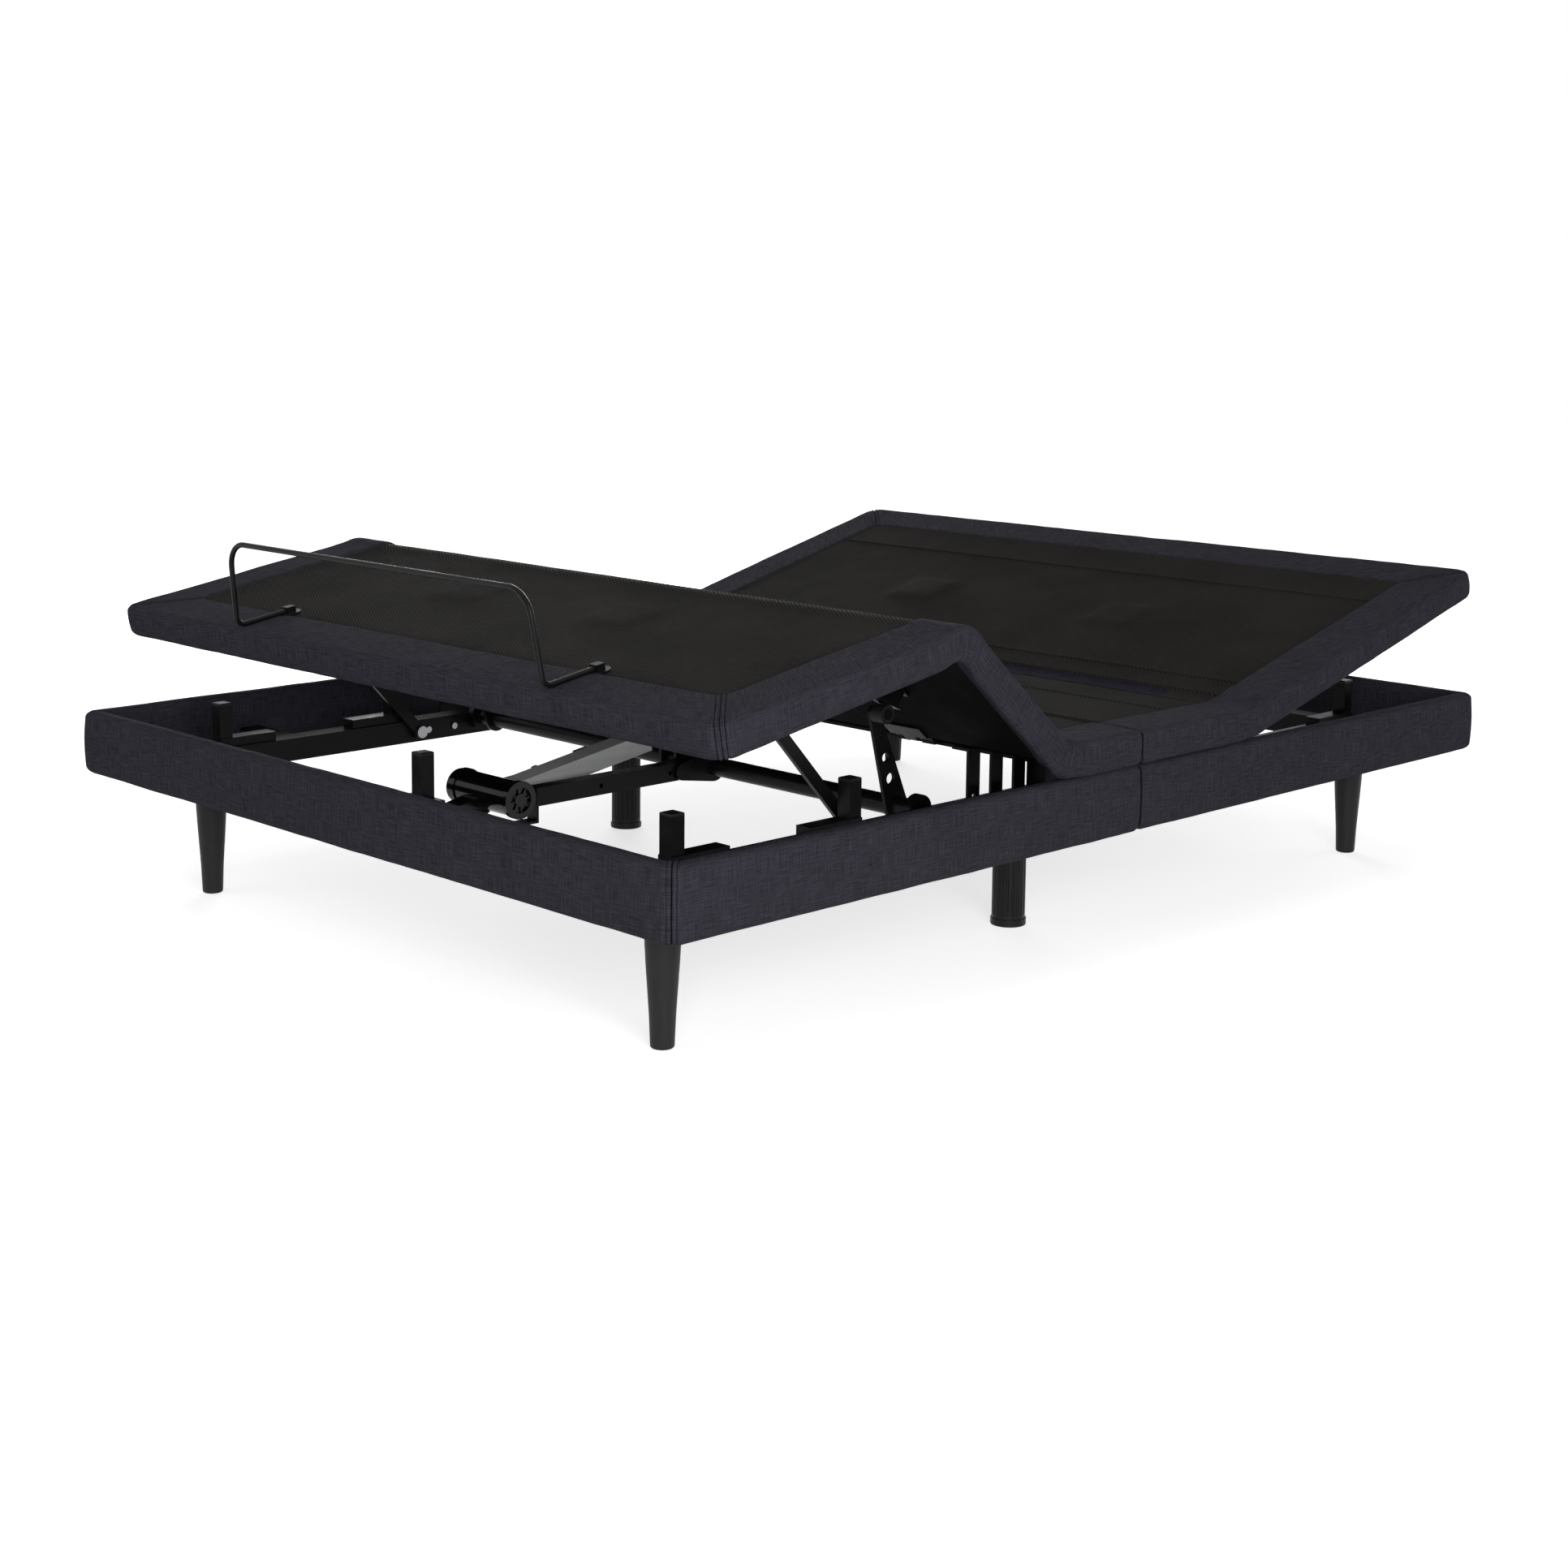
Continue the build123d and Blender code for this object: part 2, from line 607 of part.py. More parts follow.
    def bearings(self):
        """Rings on the side tubes and two plates at the end of the centre beam."""
        y, z = self.tube
        bore = TORQUE_R + RUN_CLEAR
        ring_x = INNER_X - COLLAR_W
        ring = rod_x(y, z, COLLAR_R, ring_x, INNER_X) - rod_x(y, z, bore, ring_x - 1, INNER_X)
        tail = (self.beam_end() + self.away * COLLAR_R, z)
        plates = []
        for x in (self.beam_x - BEAM_W / 2 - CHEEK_T, self.beam_x + BEAM_W / 2):
            plates.append(link(self.tube, tail, COLLAR_R, BEAM_H / 2, x, x + CHEEK_T, [(0, bore)]))
        return both_sides(ring) + plates

    def beam_end(self):
        return self.tube[0] + self.away * (TORQUE_R + BEAM_H)

    def beam(self):
        """Box beam from the torque tube, carried under the motor to the end cross bar by a strap."""
        x0, x1 = self.beam_x - BEAM_W / 2, self.beam_x + BEAM_W / 2
        z0, z1 = TORQUE_Z - BEAM_H / 2, TORQUE_Z + BEAM_H / 2
        near, stop = self.beam_end(), self.away * (CROSS_IN_Y - BEAM_SHORT)
        y0, y1 = sorted((near, stop))
        w, t, low = BEAM_WALL, STRAP_T, TUBE_LOW - 2 * STRAP_T
        beam = block(x0, x1, y0, y1, z0, z1) - block(x0 + w, x1 - w, y0 - 1, y1 + 1, z0 + w, z1 - w)
        for share in BEAM_HOLES:
            beam -= rod_x(near + (stop - near) * share, TORQUE_Z, BEAM_HOLE_R, x0 - 1, x1 + 1)
        beam += block(x0, x1, stop - self.away * t, stop, low, z1)
        beam += block(x0, x1, stop - self.away * t, self.away * CROSS_Y, low, low + t)
        return beam + block(x0, x1, self.away * CROSS_IN_Y, self.away * CROSS_Y, low, TUBE_LOW)

    def mount(self):
        """Clevis plates on the end cross bar, with the motor's pin."""
        y, z = self.motor
        x0 = MOTOR_ARM_W / 2 + RUN_CLEAR
        low, high = z - MOUNT_EYE_R, z + MOUNT_EYE_R
        plate = block(x0, x0 + MOUNT_T, y, self.away * CROSS_IN_Y, low, high)
        plate += rod_x(y, z, MOUNT_EYE_R, x0, x0 + MOUNT_T)
        plate -= rod_x(y, z, PIN_R, x0 - 1, x0 + MOUNT_T + 1)
        end = x0 + MOUNT_T + PIN_HEAD
        return both_sides(plate) + [rod_x(y, z, PIN_R, -end, end)]

    def placed(self, shape):
        """Put an actuator piece, drawn along +Y from its pivot, between pivot and lever."""
        rise = degrees(atan2(self.lever[1] - self.motor[1], abs(self.lever[0] - self.motor[0])))
        if self.away > 0:
            return Pos(0, *self.motor) * Rot(-rise, 0, 0) * Rot(0, 0, 180) * shape
        return Pos(0, *self.motor) * Rot(rise, 0, 0) * shape

    def shortest(self):
        """Pivot to lever pin with the panel flat."""
        p = self.polar(LEVER_R, self.sizes["lever"])
        return hypot(p[0] - self.motor[0], p[1] - self.motor[1])

    def actuator(self):
        """Motor with its rear arm, the channel, and the rod that slides in the channel."""
        half_x, half_z = CHANNEL_W / 2, CHANNEL_H / 2
        in_x, in_z = half_x - CHANNEL_WALL, half_z - CHANNEL_WALL
        plug_x, plug_z = in_x - PIN_CLEAR, in_z - PIN_CLEAR
        start = MOTOR_AHEAD + CHANNEL_AHEAD
        end = self.shortest() - CHANNEL_SHORT
        arm_x, neck = MOTOR_ARM_W / 2, MOTOR_AHEAD - half_z
        motor = link((0, 0), (neck, 0), MOTOR_EYE_R, half_z, -arm_x, arm_x, [(0, PIN_R + PIN_CLEAR)])
        motor += block(-plug_x, plug_x, neck, start + CHANNEL_PLUG, -plug_z, plug_z)
        motor += motor_drum()
        channel = block(-half_x, half_x, start, end, -half_z, half_z)
        channel -= block(-in_x, in_x, start - 1, end + 1, -in_z, in_z)
        channel -= rod_x(MOTOR_AHEAD, MOTOR_UP, MOTOR_R + PIN_CLEAR, -half_x - 1, half_x + 1)
        rod = Pos(0, self.span - ROD_LEN / 2, 0) * Rot(90, 0, 0) * Cylinder(ROD_R, ROD_LEN)
        rod += rod_x(self.span, 0, ROD_EYE_R, -ROD_EYE_W / 2, ROD_EYE_W / 2)
        rod -= rod_x(self.span, 0, PIN_R + PIN_CLEAR, -ROD_EYE_W, ROD_EYE_W)
        return self.placed(motor), self.placed(channel), self.placed(rod)

    def lead(self):
        """Motor lead from its gland along the side of the channel, held by a clip, to its plug."""
        wall = CHANNEL_W / 2
        side = wall + LEAD_R + PIN_CLEAR
        out, y = wall + MOTOR_RIB_W, MOTOR_AHEAD + MOTOR_R
        route = [(-out, y + 6), (-out, y + 26), (-side, y + 56), (-side, y + 180)]
        path = rounded([(*point, LEAD_Z) for point in route], (60, 60))
        lead = sweep(Plane(path @ 0, z_dir=path % 0) * Circle(LEAD_R), path=path)
        low, high = LEAD_Z - 1.5 * LEAD_R, LEAD_Z + 1.5 * LEAD_R
        gland = block(-out - 2 * LEAD_R, -out + 2 * LEAD_R, MOTOR_AHEAD, y + 6, low, high)
        gland -= rod_x(MOTOR_AHEAD, MOTOR_UP, MOTOR_R, -MOTOR_LEFT, 0)
        plug = block(-side - LEAD_R - 2, -wall, y + 180, y + 208, low, high)
        clip = block(-side - LEAD_R - 1, -wall, y + 90, y + 100, low, high)
        return self.placed(lead + gland + plug + clip)


def motor_drum():
    """Motor body across the channel, with ribs and a spoked end."""
    y, z = MOTOR_AHEAD, MOTOR_UP
    drum = rod_x(y, z, MOTOR_R, -MOTOR_LEFT, MOTOR_RIGHT)
    for x in (MOTOR_RIB_W - MOTOR_LEFT, MOTOR_RIGHT - MOTOR_RIB_W):
        drum += rod_x(y, z, MOTOR_R + MOTOR_RIB, x, x + MOTOR_RIB_W)
    rim = MOTOR_R - 3 * MOTOR_RIB
    floor = MOTOR_RIGHT - 2 * MOTOR_RIB
    drum -= rod_x(y, z, rim, floor, MOTOR_RIGHT + 1)
    drum += rod_x(y, z, rim / 2, floor - 1, MOTOR_RIGHT - 1)
    for i in range(8):
        spoke = block(floor - 1, MOTOR_RIGHT - 2, -MOTOR_RIB / 2, MOTOR_RIB / 2, rim / 3, rim + 1)
        drum += Pos(0, y, z) * Rot(45 * i, 0, 0) * spoke
    return drum


# Base pieces
def corner_leg():
    """Tapered round leg, fuller near the top, with an eased foot."""
    r0, r1, h, e = LEG_FOOT_R, LEG_TOP_R, PLATE_LOW, LEG_EASE
    bend = e * (1 - cos(pi / 4))
    foot = ThreePointArc((r0 - e, 0), (r0 - bend, bend), (r0, e))
    side = Spline((r0, e), (r0 + (r1 - r0) * 0.6, h * 0.5), (r1 - (r1 - r0) * 0.04, h * 0.8), (r1, h))
    edges = [Line((0, 0), (r0 - e, 0)), foot, side, Line((r1, h), (0, h)), Line((0, h), (0, 0))]
    return revolve(Plane.XZ * make_face(edges), Axis.Z) - rod_z(0, 0, STUD_R, h - STUD_LEN - 1, h)


def mid_leg():
    """Fluted round leg above its glide."""
    leg = rod_z(0, 0, MID_LEG_R, GLIDE_H, PLATE_LOW)
    reach = MID_LEG_R + FLUTE_R / 4
    for i in range(FLUTES):
        a = 2 * pi * i / FLUTES
        leg -= rod_z(reach * cos(a), reach * sin(a), FLUTE_R, GLIDE_H + 3 * FLUTE_R, PLATE_LOW - 3 * FLUTE_R)
    return leg - rod_z(0, 0, STUD_R, PLATE_LOW - STUD_LEN - 1, PLATE_LOW)


def leg_plate(x, y, inner, outer):
    """Plate under the frame between two X positions, with the stud that the leg screws onto."""
    half = LEG_PLATE / 2
    plate = block(inner, outer, y - half, y + half, PLATE_LOW, TUBE_LOW)
    return plate + rod_z(x, y, STUD_R, PLATE_LOW - STUD_LEN, PLATE_LOW)


def deck_post(x, y, toward):
    """Post on the frame with a flat bar beside it (toward +1 or -1 along Y, 0 for a plain plate)."""
    h = POST / 2
    post = block(x - h, x + h, y - h, y + h, TUBE_TOP, BOARD_Z - CAP_GAP - CAP_H)
    if toward:
        y0, y1 = sorted((y - toward * h, y + toward * POST_BAR))
        w = POST_BAR_W / 2
        return post + block(x - w, x + w, y0, y1, TUBE_TOP, TUBE_TOP + POST_BAR_T)
    w = POST_FOOT / 2
    return post + block(x - w, x + w, y - h, y + h, TUBE_TOP, TUBE_TOP + POST_FOOT_T)


def post_cap(x, y):
    h = POST / 2
    top = BOARD_Z - CAP_GAP
    cap = block(x - h, x + h, y - h, y + h, top - CAP_H, top)
    return fillet(edges_at(cap, top), CAP_EASE)


def seat_bracket(y0):
    """Three legs on the inner face of a side tube, under a flange that carries a seat board."""
    y1 = y0 + SEAT_BRACKET_LEN
    bracket = block(INNER_X - SEAT_BRACKET_W, INNER_X, y0, y1, BOARD_Z - SEAT_BRACKET_T, BOARD_Z)
    pitch = (SEAT_BRACKET_LEN - SEAT_BRACKET_LEG) / 2
    for i in range(3):
        y = y0 + pitch * i
        bracket += block(INNER_X - SEAT_BRACKET_T, INNER_X, y, y + SEAT_BRACKET_LEG, TUBE_LOW, BOARD_Z)
    hole_y = y0 + SEAT_BRACKET_LEG / 2
    return bracket - rod_x(hole_y, TUBE_TOP, BOLT_R, INNER_X - SEAT_BRACKET_W, INNER_X + 1)


def bolt(point, axis, length):
    """Round-headed bolt; its head sits on the outside of 'point' and its shank runs inward along 'axis'."""
    plane = Plane(origin=point, z_dir=axis)
    shank = plane * Pos(0, 0, length / 2) * Cylinder(BOLT_R, length)
    return shank + plane * Pos(0, 0, -BOLT_HEAD_H / 2) * Cylinder(BOLT_HEAD_R, BOLT_HEAD_H)


def rail_arm(inner, outer):
    """Outline, across the gap from the frame to the surround, of a bracket with two turned-down ends."""
    t = RAIL_BRACKET_T
    top = TUBE_Z + RAIL_BRACKET_H / 2
    low = top - RAIL_BRACKET_H
    return [(inner, low), (inner + t, low), (inner + t, top - t), (outer - t, top - t),
            (outer - t, low), (outer, low), (outer, top), (inner, top)]


leg_lift = Lift(LEG_HINGE_Y, -1, LEG_LIFT, LEG_REST, LEG_MAX)
head_lift = Lift(HEAD_HINGE_Y, 1, HEAD_LIFT, HEAD_REST, HEAD_MAX)


def raise_head(shape):
    return turn(shape, HEAD_HINGE_Y, AXIS_Z, HEAD_REST)


def raise_thigh(shape):
    return turn(shape, LEG_HINGE_Y, AXIS_Z, -LEG_REST)


def raise_foot(shape):
    return raise_thigh(turn(shape, KNEE_Y, AXIS_Z, KNEE_REST))


os.makedirs("parts", exist_ok=True)
HALVES = (("foot", -1), ("head", 1))

# Surround
for half_name, half_sign in HALVES:
    half_boards, half_covers = rail_half(half_sign)
    save(f"rail_boards_{half_name}", *half_boards)
    save(f"rail_cover_{half_name}", *half_covers)

# Bolts: splice plates outside the side tubes, plain bolts inside
bolts = []
for place in (-0.4, -0.15, 0.15, 0.4):
    spot = (SIDE_OUT_X + SPLICE_T, SPLIT_Y + SPLICE_LEN * place, TUBE_Z)
    bolts += both_sides(bolt(spot, (-1, 0, 0), 3 * BOLT_R))
for reach in FRAME_BOLTS:
    bolts += both_sides(bolt((INNER_X, LEG_HINGE_Y - reach, TUBE_Z), (1, 0, 0), 2 * BOLT_R))

# Steel frame
for half_name, half_sign in HALVES:
    y_mid = SPLIT_Y + half_sign * SPLIT_GAP / 2
    y_end = half_sign * CROSS_OUT_Y
    side_tubes = both_sides(square_tube(INNER_X, SIDE_OUT_X, *sorted((y_mid, y_end)), TUBE_LOW, "y"))
    for one in bolts:
        side_tubes = [tube - one for tube in side_tubes]
    save(f"side_tubes_{half_name}", *side_tubes)
    y0, y1 = sorted((y_mid, y_mid + half_sign * TUBE))
    seat_bar = square_tube(-SIDE_OUT_X, SIDE_OUT_X, y0, y1, SEAT_BAR_LOW, "x")
    for foot in both_sides(block(INNER_X, SIDE_OUT_X, y0, y1, TUBE_TOP, SEAT_BAR_LOW)):
        seat_bar += foot
    end_bar = square_tube(-INNER_X, INNER_X, *sorted((y_end, y_end - half_sign * TUBE)), TUBE_LOW, "x")
    save(f"cross_bars_{half_name}", seat_bar, end_bar)
save("centre_beams", leg_lift.beam(), head_lift.beam())
save("torque_bearings", *leg_lift.bearings(), *head_lift.bearings())
y0, y1 = SPLIT_Y - SPLICE_LEN / 2, SPLIT_Y + SPLICE_LEN / 2
splice = block(SIDE_OUT_X, SIDE_OUT_X + SPLICE_T, y0, y1, TUBE_LOW + SPLICE_T, TUBE_TOP - SPLICE_T)
splices = both_sides(splice)
for one in bolts:
    splices = [plate - one for plate in splices]
save("splice_plates", *splices)
save("frame_bolts", *bolts)

# Brackets from the frame out to the surround
rail_brackets = []
w = RAIL_BRACKET_W / 2
for y in (RAIL_BRACKET_Y, CROSS_IN_Y - RAIL_BRACKET_BACK):
    for piece in both_sides(prism_y(rail_arm(SIDE_OUT_X, RAIL_IN_X), y - w, y + w)):
        rail_brackets += [piece, mirror(piece, Plane.XZ)]
for piece in both_sides(prism_x(rail_arm(CROSS_OUT_Y, RAIL_IN_Y), RAIL_BRACKET_X - w, RAIL_BRACKET_X + w)):
    rail_brackets += [piece, mirror(piece, Plane.XZ)]
save("rail_brackets", *rail_brackets)

# Legs
corners = [(sx * LEG_X, sy * LEG_Y) for sx in (-1, 1) for sy in (-1, 1)]
middles = [(-MID_LEG_X, MID_LEG_Y), (MID_LEG_X, MID_LEG_Y)]
one_corner, one_middle = corner_leg(), mid_leg()
save("corner_legs", *[Pos(x, y, 0) * one_corner for x, y in corners])
save("mid_legs", *[Pos(x, y, 0) * one_middle for x, y in middles])
half = LEG_PLATE / 2
plates = [leg_plate(x, y, x - half, x + half) for x, y in corners]
plates += both_sides(leg_plate(MID_LEG_X, MID_LEG_Y, MID_LEG_X - half, SIDE_OUT_X))
save("leg_plates", *plates)
glide = rod_z(0, 0, MID_LEG_R + GLIDE_LIP, 0, GLIDE_H)
glide = fillet(edges_at(glide, 0), GLIDE_LIP)
save("leg_glides", *[Pos(x, y, 0) * glide for x, y in middles])

# Posts and brackets that carry the deck
mid_post_y = LEG_HINGE_Y - POST_Y
posts = [(0, -POST_END_Y, 0), (0, POST_END_Y, 0)]
for x in (-SIDE_X, SIDE_X):
    posts += [(x, -POST_END_Y, 1), (x, mid_post_y, -1), (x, POST_END_Y, -1)]
save("deck_posts", *[deck_post(*spot) for spot in posts])
save("post_caps", *[post_cap(x, y) for x, y, toward in posts])
bracket_ys = (LEG_HINGE_Y + SEAT_BRACKET_END, HEAD_HINGE_Y - SEAT_BRACKET_END - SEAT_BRACKET_LEN)
save("seat_brackets", *[piece for y in bracket_ys for piece in both_sides(seat_bracket(y))])

# Control box under the head half's seat board
x0, x1 = CONTROL_X - CONTROL_W / 2, CONTROL_X + CONTROL_W / 2
y0 = SPLIT_Y + SPLIT_GAP / 2 + TUBE
control = block(x0, x1, y0, y0 + CONTROL_L, BOARD_Z - CONTROL_H, BOARD_Z)
control = fillet(control.edges().filter_by(Axis.Z), CONTROL_H / 8)
socket_y, socket_z = y0 + CONTROL_L / 2, BOARD_Z - CONTROL_H / 2
s, t = CONTROL_H / 4, CONTROL_H / 8
control -= block(x1 - s, x1 + 1, socket_y - s, socket_y + s, socket_z - s, socket_z + s)
control += block(x1 - s - 1, x1 - t, socket_y - t, socket_y + t, socket_z - t, socket_z + t)
save("control_box", control)

# Deck panels
leg_bend = (LEG_MAX / 2, 0, HINGE_GAP)
head_bend = (HEAD_MAX / 2, 0, HINGE_GAP)
thigh_knee = (0, KNEE_MAX / 2, HINGE_GAP)
foot_knee = (0, KNEE_MAX / 2, KNEE_LIP)
near_split, far_split = SPLIT_Y - SPLIT_GAP / 2, SPLIT_Y + SPLIT_GAP / 2
seat = [panel(LEG_HINGE_Y, near_split, (leg_bend, "butt")),
        panel(far_split, HEAD_HINGE_Y, ("butt", head_bend))]
save("seat_pads", *seat[0][0], *seat[1][0])
save("seat_boards", *[half_panel[1] for half_panel in seat])
save("seat_mesh", *[half_panel[2] for half_panel in seat])

head_units = massage_units(HEAD_HINGE_Y + HEAD_UNIT_Y, HEAD_UNIT_X)
foot_units = massage_units(KNEE_Y - FOOT_UNIT_Y, FOOT_UNIT_X)
head_panel = panel(HEAD_HINGE_Y, HEAD_END, (head_bend, "free"))
thigh_panel = panel(KNEE_Y, LEG_HINGE_Y, (thigh_knee, leg_bend))
foot_panel = panel(FOOT_END, KNEE_Y, ("free", foot_knee))
raised = (("head", head_panel, raise_head, head_units), ("thigh", thigh_panel, raise_thigh, []),
          ("foot", foot_panel, raise_foot, foot_units))
for name, (pads, board, mesh), lift_up, units in raised:
    for unit in units:
        board -= unit
    save(f"{name}_pad", *[lift_up(pad) for pad in pads])
    save(f"{name}_board", lift_up(board))
    save(f"{name}_mesh", lift_up(mesh))
    if units:
        save(f"{name}_massage_units", *[lift_up(unit) for unit in units])

# Hinges
fixed = hinge_leaves(LEG_HINGE_Y, 1, True) + hinge_leaves(HEAD_HINGE_Y, -1, True)
save("seat_hinge_leaves", *fixed, *hinge_pins(LEG_HINGE_Y), *hinge_pins(HEAD_HINGE_Y))
save("head_hinge_leaves", *[raise_head(leaf) for leaf in hinge_leaves(HEAD_HINGE_Y, 1, False)])
thigh_leaves = hinge_leaves(LEG_HINGE_Y, -1, False) + hinge_leaves(KNEE_Y, 1, True) + hinge_pins(KNEE_Y)
save("thigh_hinge_leaves", *[raise_thigh(leaf) for leaf in thigh_leaves])
save("foot_hinge_leaves", *[raise_foot(leaf) for leaf in hinge_leaves(KNEE_Y, -1, False)])

# Lifts
lifts = (("leg", leg_lift, raise_thigh, "thigh"), ("head", head_lift, raise_head, "head"))
for name, lift, lift_up, panel_name in lifts:
    save(f"{panel_name}_tracks", *[lift_up(track) for track in lift.tracks()])
    save(f"{name}_lift_bar", *lift.bar())
    save(f"{name}_rollers", *lift.rollers())
    motor, channel, rod = lift.actuator()
    save(f"{name}_motor", motor)
    save(f"{name}_channel", channel)
    save(f"{name}_rod", rod)
save("motor_mounts", *leg_lift.mount(), *head_lift.mount())
save("leg_motor_lead", leg_lift.lead())

# Struts between the side tubes and the foot panel
strut_low = (LEG_HINGE_Y - STRUT_PIVOT, TUBE_Z)
strut_pin = (KNEE_Y - STRUT_ON_FOOT, AXIS_Z - STRUT_DROP)
strut_high = turned(turned(strut_pin, (KNEE_Y, AXIS_Z), KNEE_REST), (LEG_HINGE_Y, AXIS_Z), -LEG_REST)
x0, x1 = STRUT_X - STRUT_T / 2, STRUT_X + STRUT_T / 2
strut = link(strut_low, strut_high, STRUT_W / 2, STRUT_W / 2, x0, x1)
for eye, hole in ((strut_low, STRUT_BOLT_R + PIN_CLEAR), (strut_high, STRUT_EYE_HOLE)):
    strut += rod_x(*eye, STRUT_EYE_R, x0, x1)
    strut -= rod_x(*eye, hole, x0 - 1, x1 + 1)
right_strut, left_strut = both_sides(strut)
save("strut_right", right_strut)
save("strut_left", left_strut)
head_x = x0 - RUN_CLEAR - STRUT_EAR_T
pivot = rod_x(*strut_low, STRUT_BOLT_R, head_x, INNER_X)
pivot += rod_x(*strut_low, STRUT_HEAD_R, head_x, x0 - RUN_CLEAR)
pivot += rod_x(*strut_low, STRUT_HEAD_R, x1 + RUN_CLEAR, INNER_X)
save("strut_bolts", *both_sides(pivot))
pin_y, pin_z = strut_pin
holder = rod_x(pin_y, pin_z, STRUT_PIN_R, x0 - 2 * STRUT_EAR_T, x1 + 2 * STRUT_EAR_T)
for ear_x in (x0 - STRUT_EAR_GAP - STRUT_EAR_T, x1 + STRUT_EAR_GAP):
    holder += block(ear_x, ear_x + STRUT_EAR_T, pin_y - STRUT_EAR_R, pin_y + STRUT_EAR_R, pin_z, BOARD_Z)
    holder += rod_x(pin_y, pin_z, STRUT_EAR_R, ear_x, ear_x + STRUT_EAR_T)
w, side = STRUT_BASE / 2, 2 * STRUT_EAR_T
holder += block(x0 - side, x1 + side, pin_y - w, pin_y + w, BOARD_Z - STRUT_BASE_T, BOARD_Z)
save("strut_brackets", *[raise_foot(piece) for piece in both_sides(holder)])

# Mattress retainer bar and its clips on the foot panel
clip_y, bend_y = FOOT_END + RETAINER_CLIP, FOOT_END + RETAINER_BEND
z_low, z_high = DECK_TOP + RETAINER_R + RUN_CLEAR, DECK_TOP + RETAINER_H
top = (RETAINER_DRAW - RETAINER_X, FOOT_END + RETAINER_LEAN, z_high)
route = [(-RETAINER_X, clip_y, z_low), (-RETAINER_X, bend_y, z_low), top]
route += [(-x, y, z) for x, y, z in reversed(route)]
path = rounded(route, (RETAINER_LOW_R, RETAINER_TOP_R, RETAINER_TOP_R, RETAINER_LOW_R))
retainer = sweep(Plane(path @ 0, z_dir=path % 0) * Circle(RETAINER_R), path=path)
save("retainer_bar", raise_foot(retainer))
w = CLIP_W / 2
clip = rod_z(RETAINER_X, clip_y, CLIP_R, DECK_TOP, DECK_TOP + RETAINER_R / 2)
clip += block(RETAINER_X - w, RETAINER_X + w, clip_y - w, clip_y + w, DECK_TOP, z_low + 1.5 * RETAINER_R)
clips = [piece - retainer for piece in both_sides(clip)]
save("retainer_clips", *[raise_foot(piece) for piece in clips])
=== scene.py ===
import math

import bpy
import numpy as np
from mathutils import Matrix, Vector, noise


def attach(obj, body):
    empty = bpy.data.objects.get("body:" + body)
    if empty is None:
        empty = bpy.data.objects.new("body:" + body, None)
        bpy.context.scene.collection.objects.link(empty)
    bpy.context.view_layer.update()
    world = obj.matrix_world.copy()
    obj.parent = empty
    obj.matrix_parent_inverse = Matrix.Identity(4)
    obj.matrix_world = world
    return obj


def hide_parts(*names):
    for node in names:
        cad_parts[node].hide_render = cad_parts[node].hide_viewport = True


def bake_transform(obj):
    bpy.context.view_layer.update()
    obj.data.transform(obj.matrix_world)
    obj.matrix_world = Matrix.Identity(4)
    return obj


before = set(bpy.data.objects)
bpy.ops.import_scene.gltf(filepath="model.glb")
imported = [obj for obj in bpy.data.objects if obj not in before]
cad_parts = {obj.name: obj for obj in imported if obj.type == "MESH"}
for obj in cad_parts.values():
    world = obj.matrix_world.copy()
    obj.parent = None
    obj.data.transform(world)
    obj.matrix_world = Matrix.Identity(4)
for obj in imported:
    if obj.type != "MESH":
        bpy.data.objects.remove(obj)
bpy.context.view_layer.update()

# Sizes of the part, in metres, as the solids have them
HALF_W = 0.762
HALF_L = 1.016
RAIL_Z = 0.206
RAIL_TOP = 0.313
RAIL_T = 0.024
RAIL_CORNER = 0.020
DECK_Z = 0.319
BOARD_Z = 0.334
DECK_TOP = 0.369
DECK_END = 1.014
DECK_CORNER = 0.028
AXIS_Z = 0.344
HEAD_Y = 0.298
LEG_Y = -0.202
KNEE_Y = -0.515
SPLIT_Y = -0.012

# Angles of the hinges at rest, in degrees: head to seat, thigh to seat, foot to thigh
HEAD_REST = 14.6
LEG_REST = -41.2
KNEE_REST = -1.24 * LEG_REST

# Sizes of the cloth, in metres
HALF_GAP = 0.0022  # half of the slit between the bed's two halves
BORDER = 0.095  # cloth border round the mesh
THIGH_SEAM_Y = -0.36  # where the cloth passes from the thigh's hinge to the knee's
CLOTH_T = 0.0012
MESH_T = 0.001
SEAM_ROW = 0.007  # from a corner's seam to the stitching beside it
HINGE_REACH = 0.045  # stations are close together this far to both sides of a hinge
HINGE_STEP = 0.0022
FOLD_RUN = 0.010  # a cut end folds inwards over this length
FOLD_STATIONS = (0.0, 0.0, 0.0015, 0.0035, 0.007)
FOLD_INSETS = (-0.012, -0.008, -0.0038, -0.0016, -0.0004)
CORNER_STATIONS = 33
END_STEP = 1.4  # stations along the end are this many times further apart than along the sides


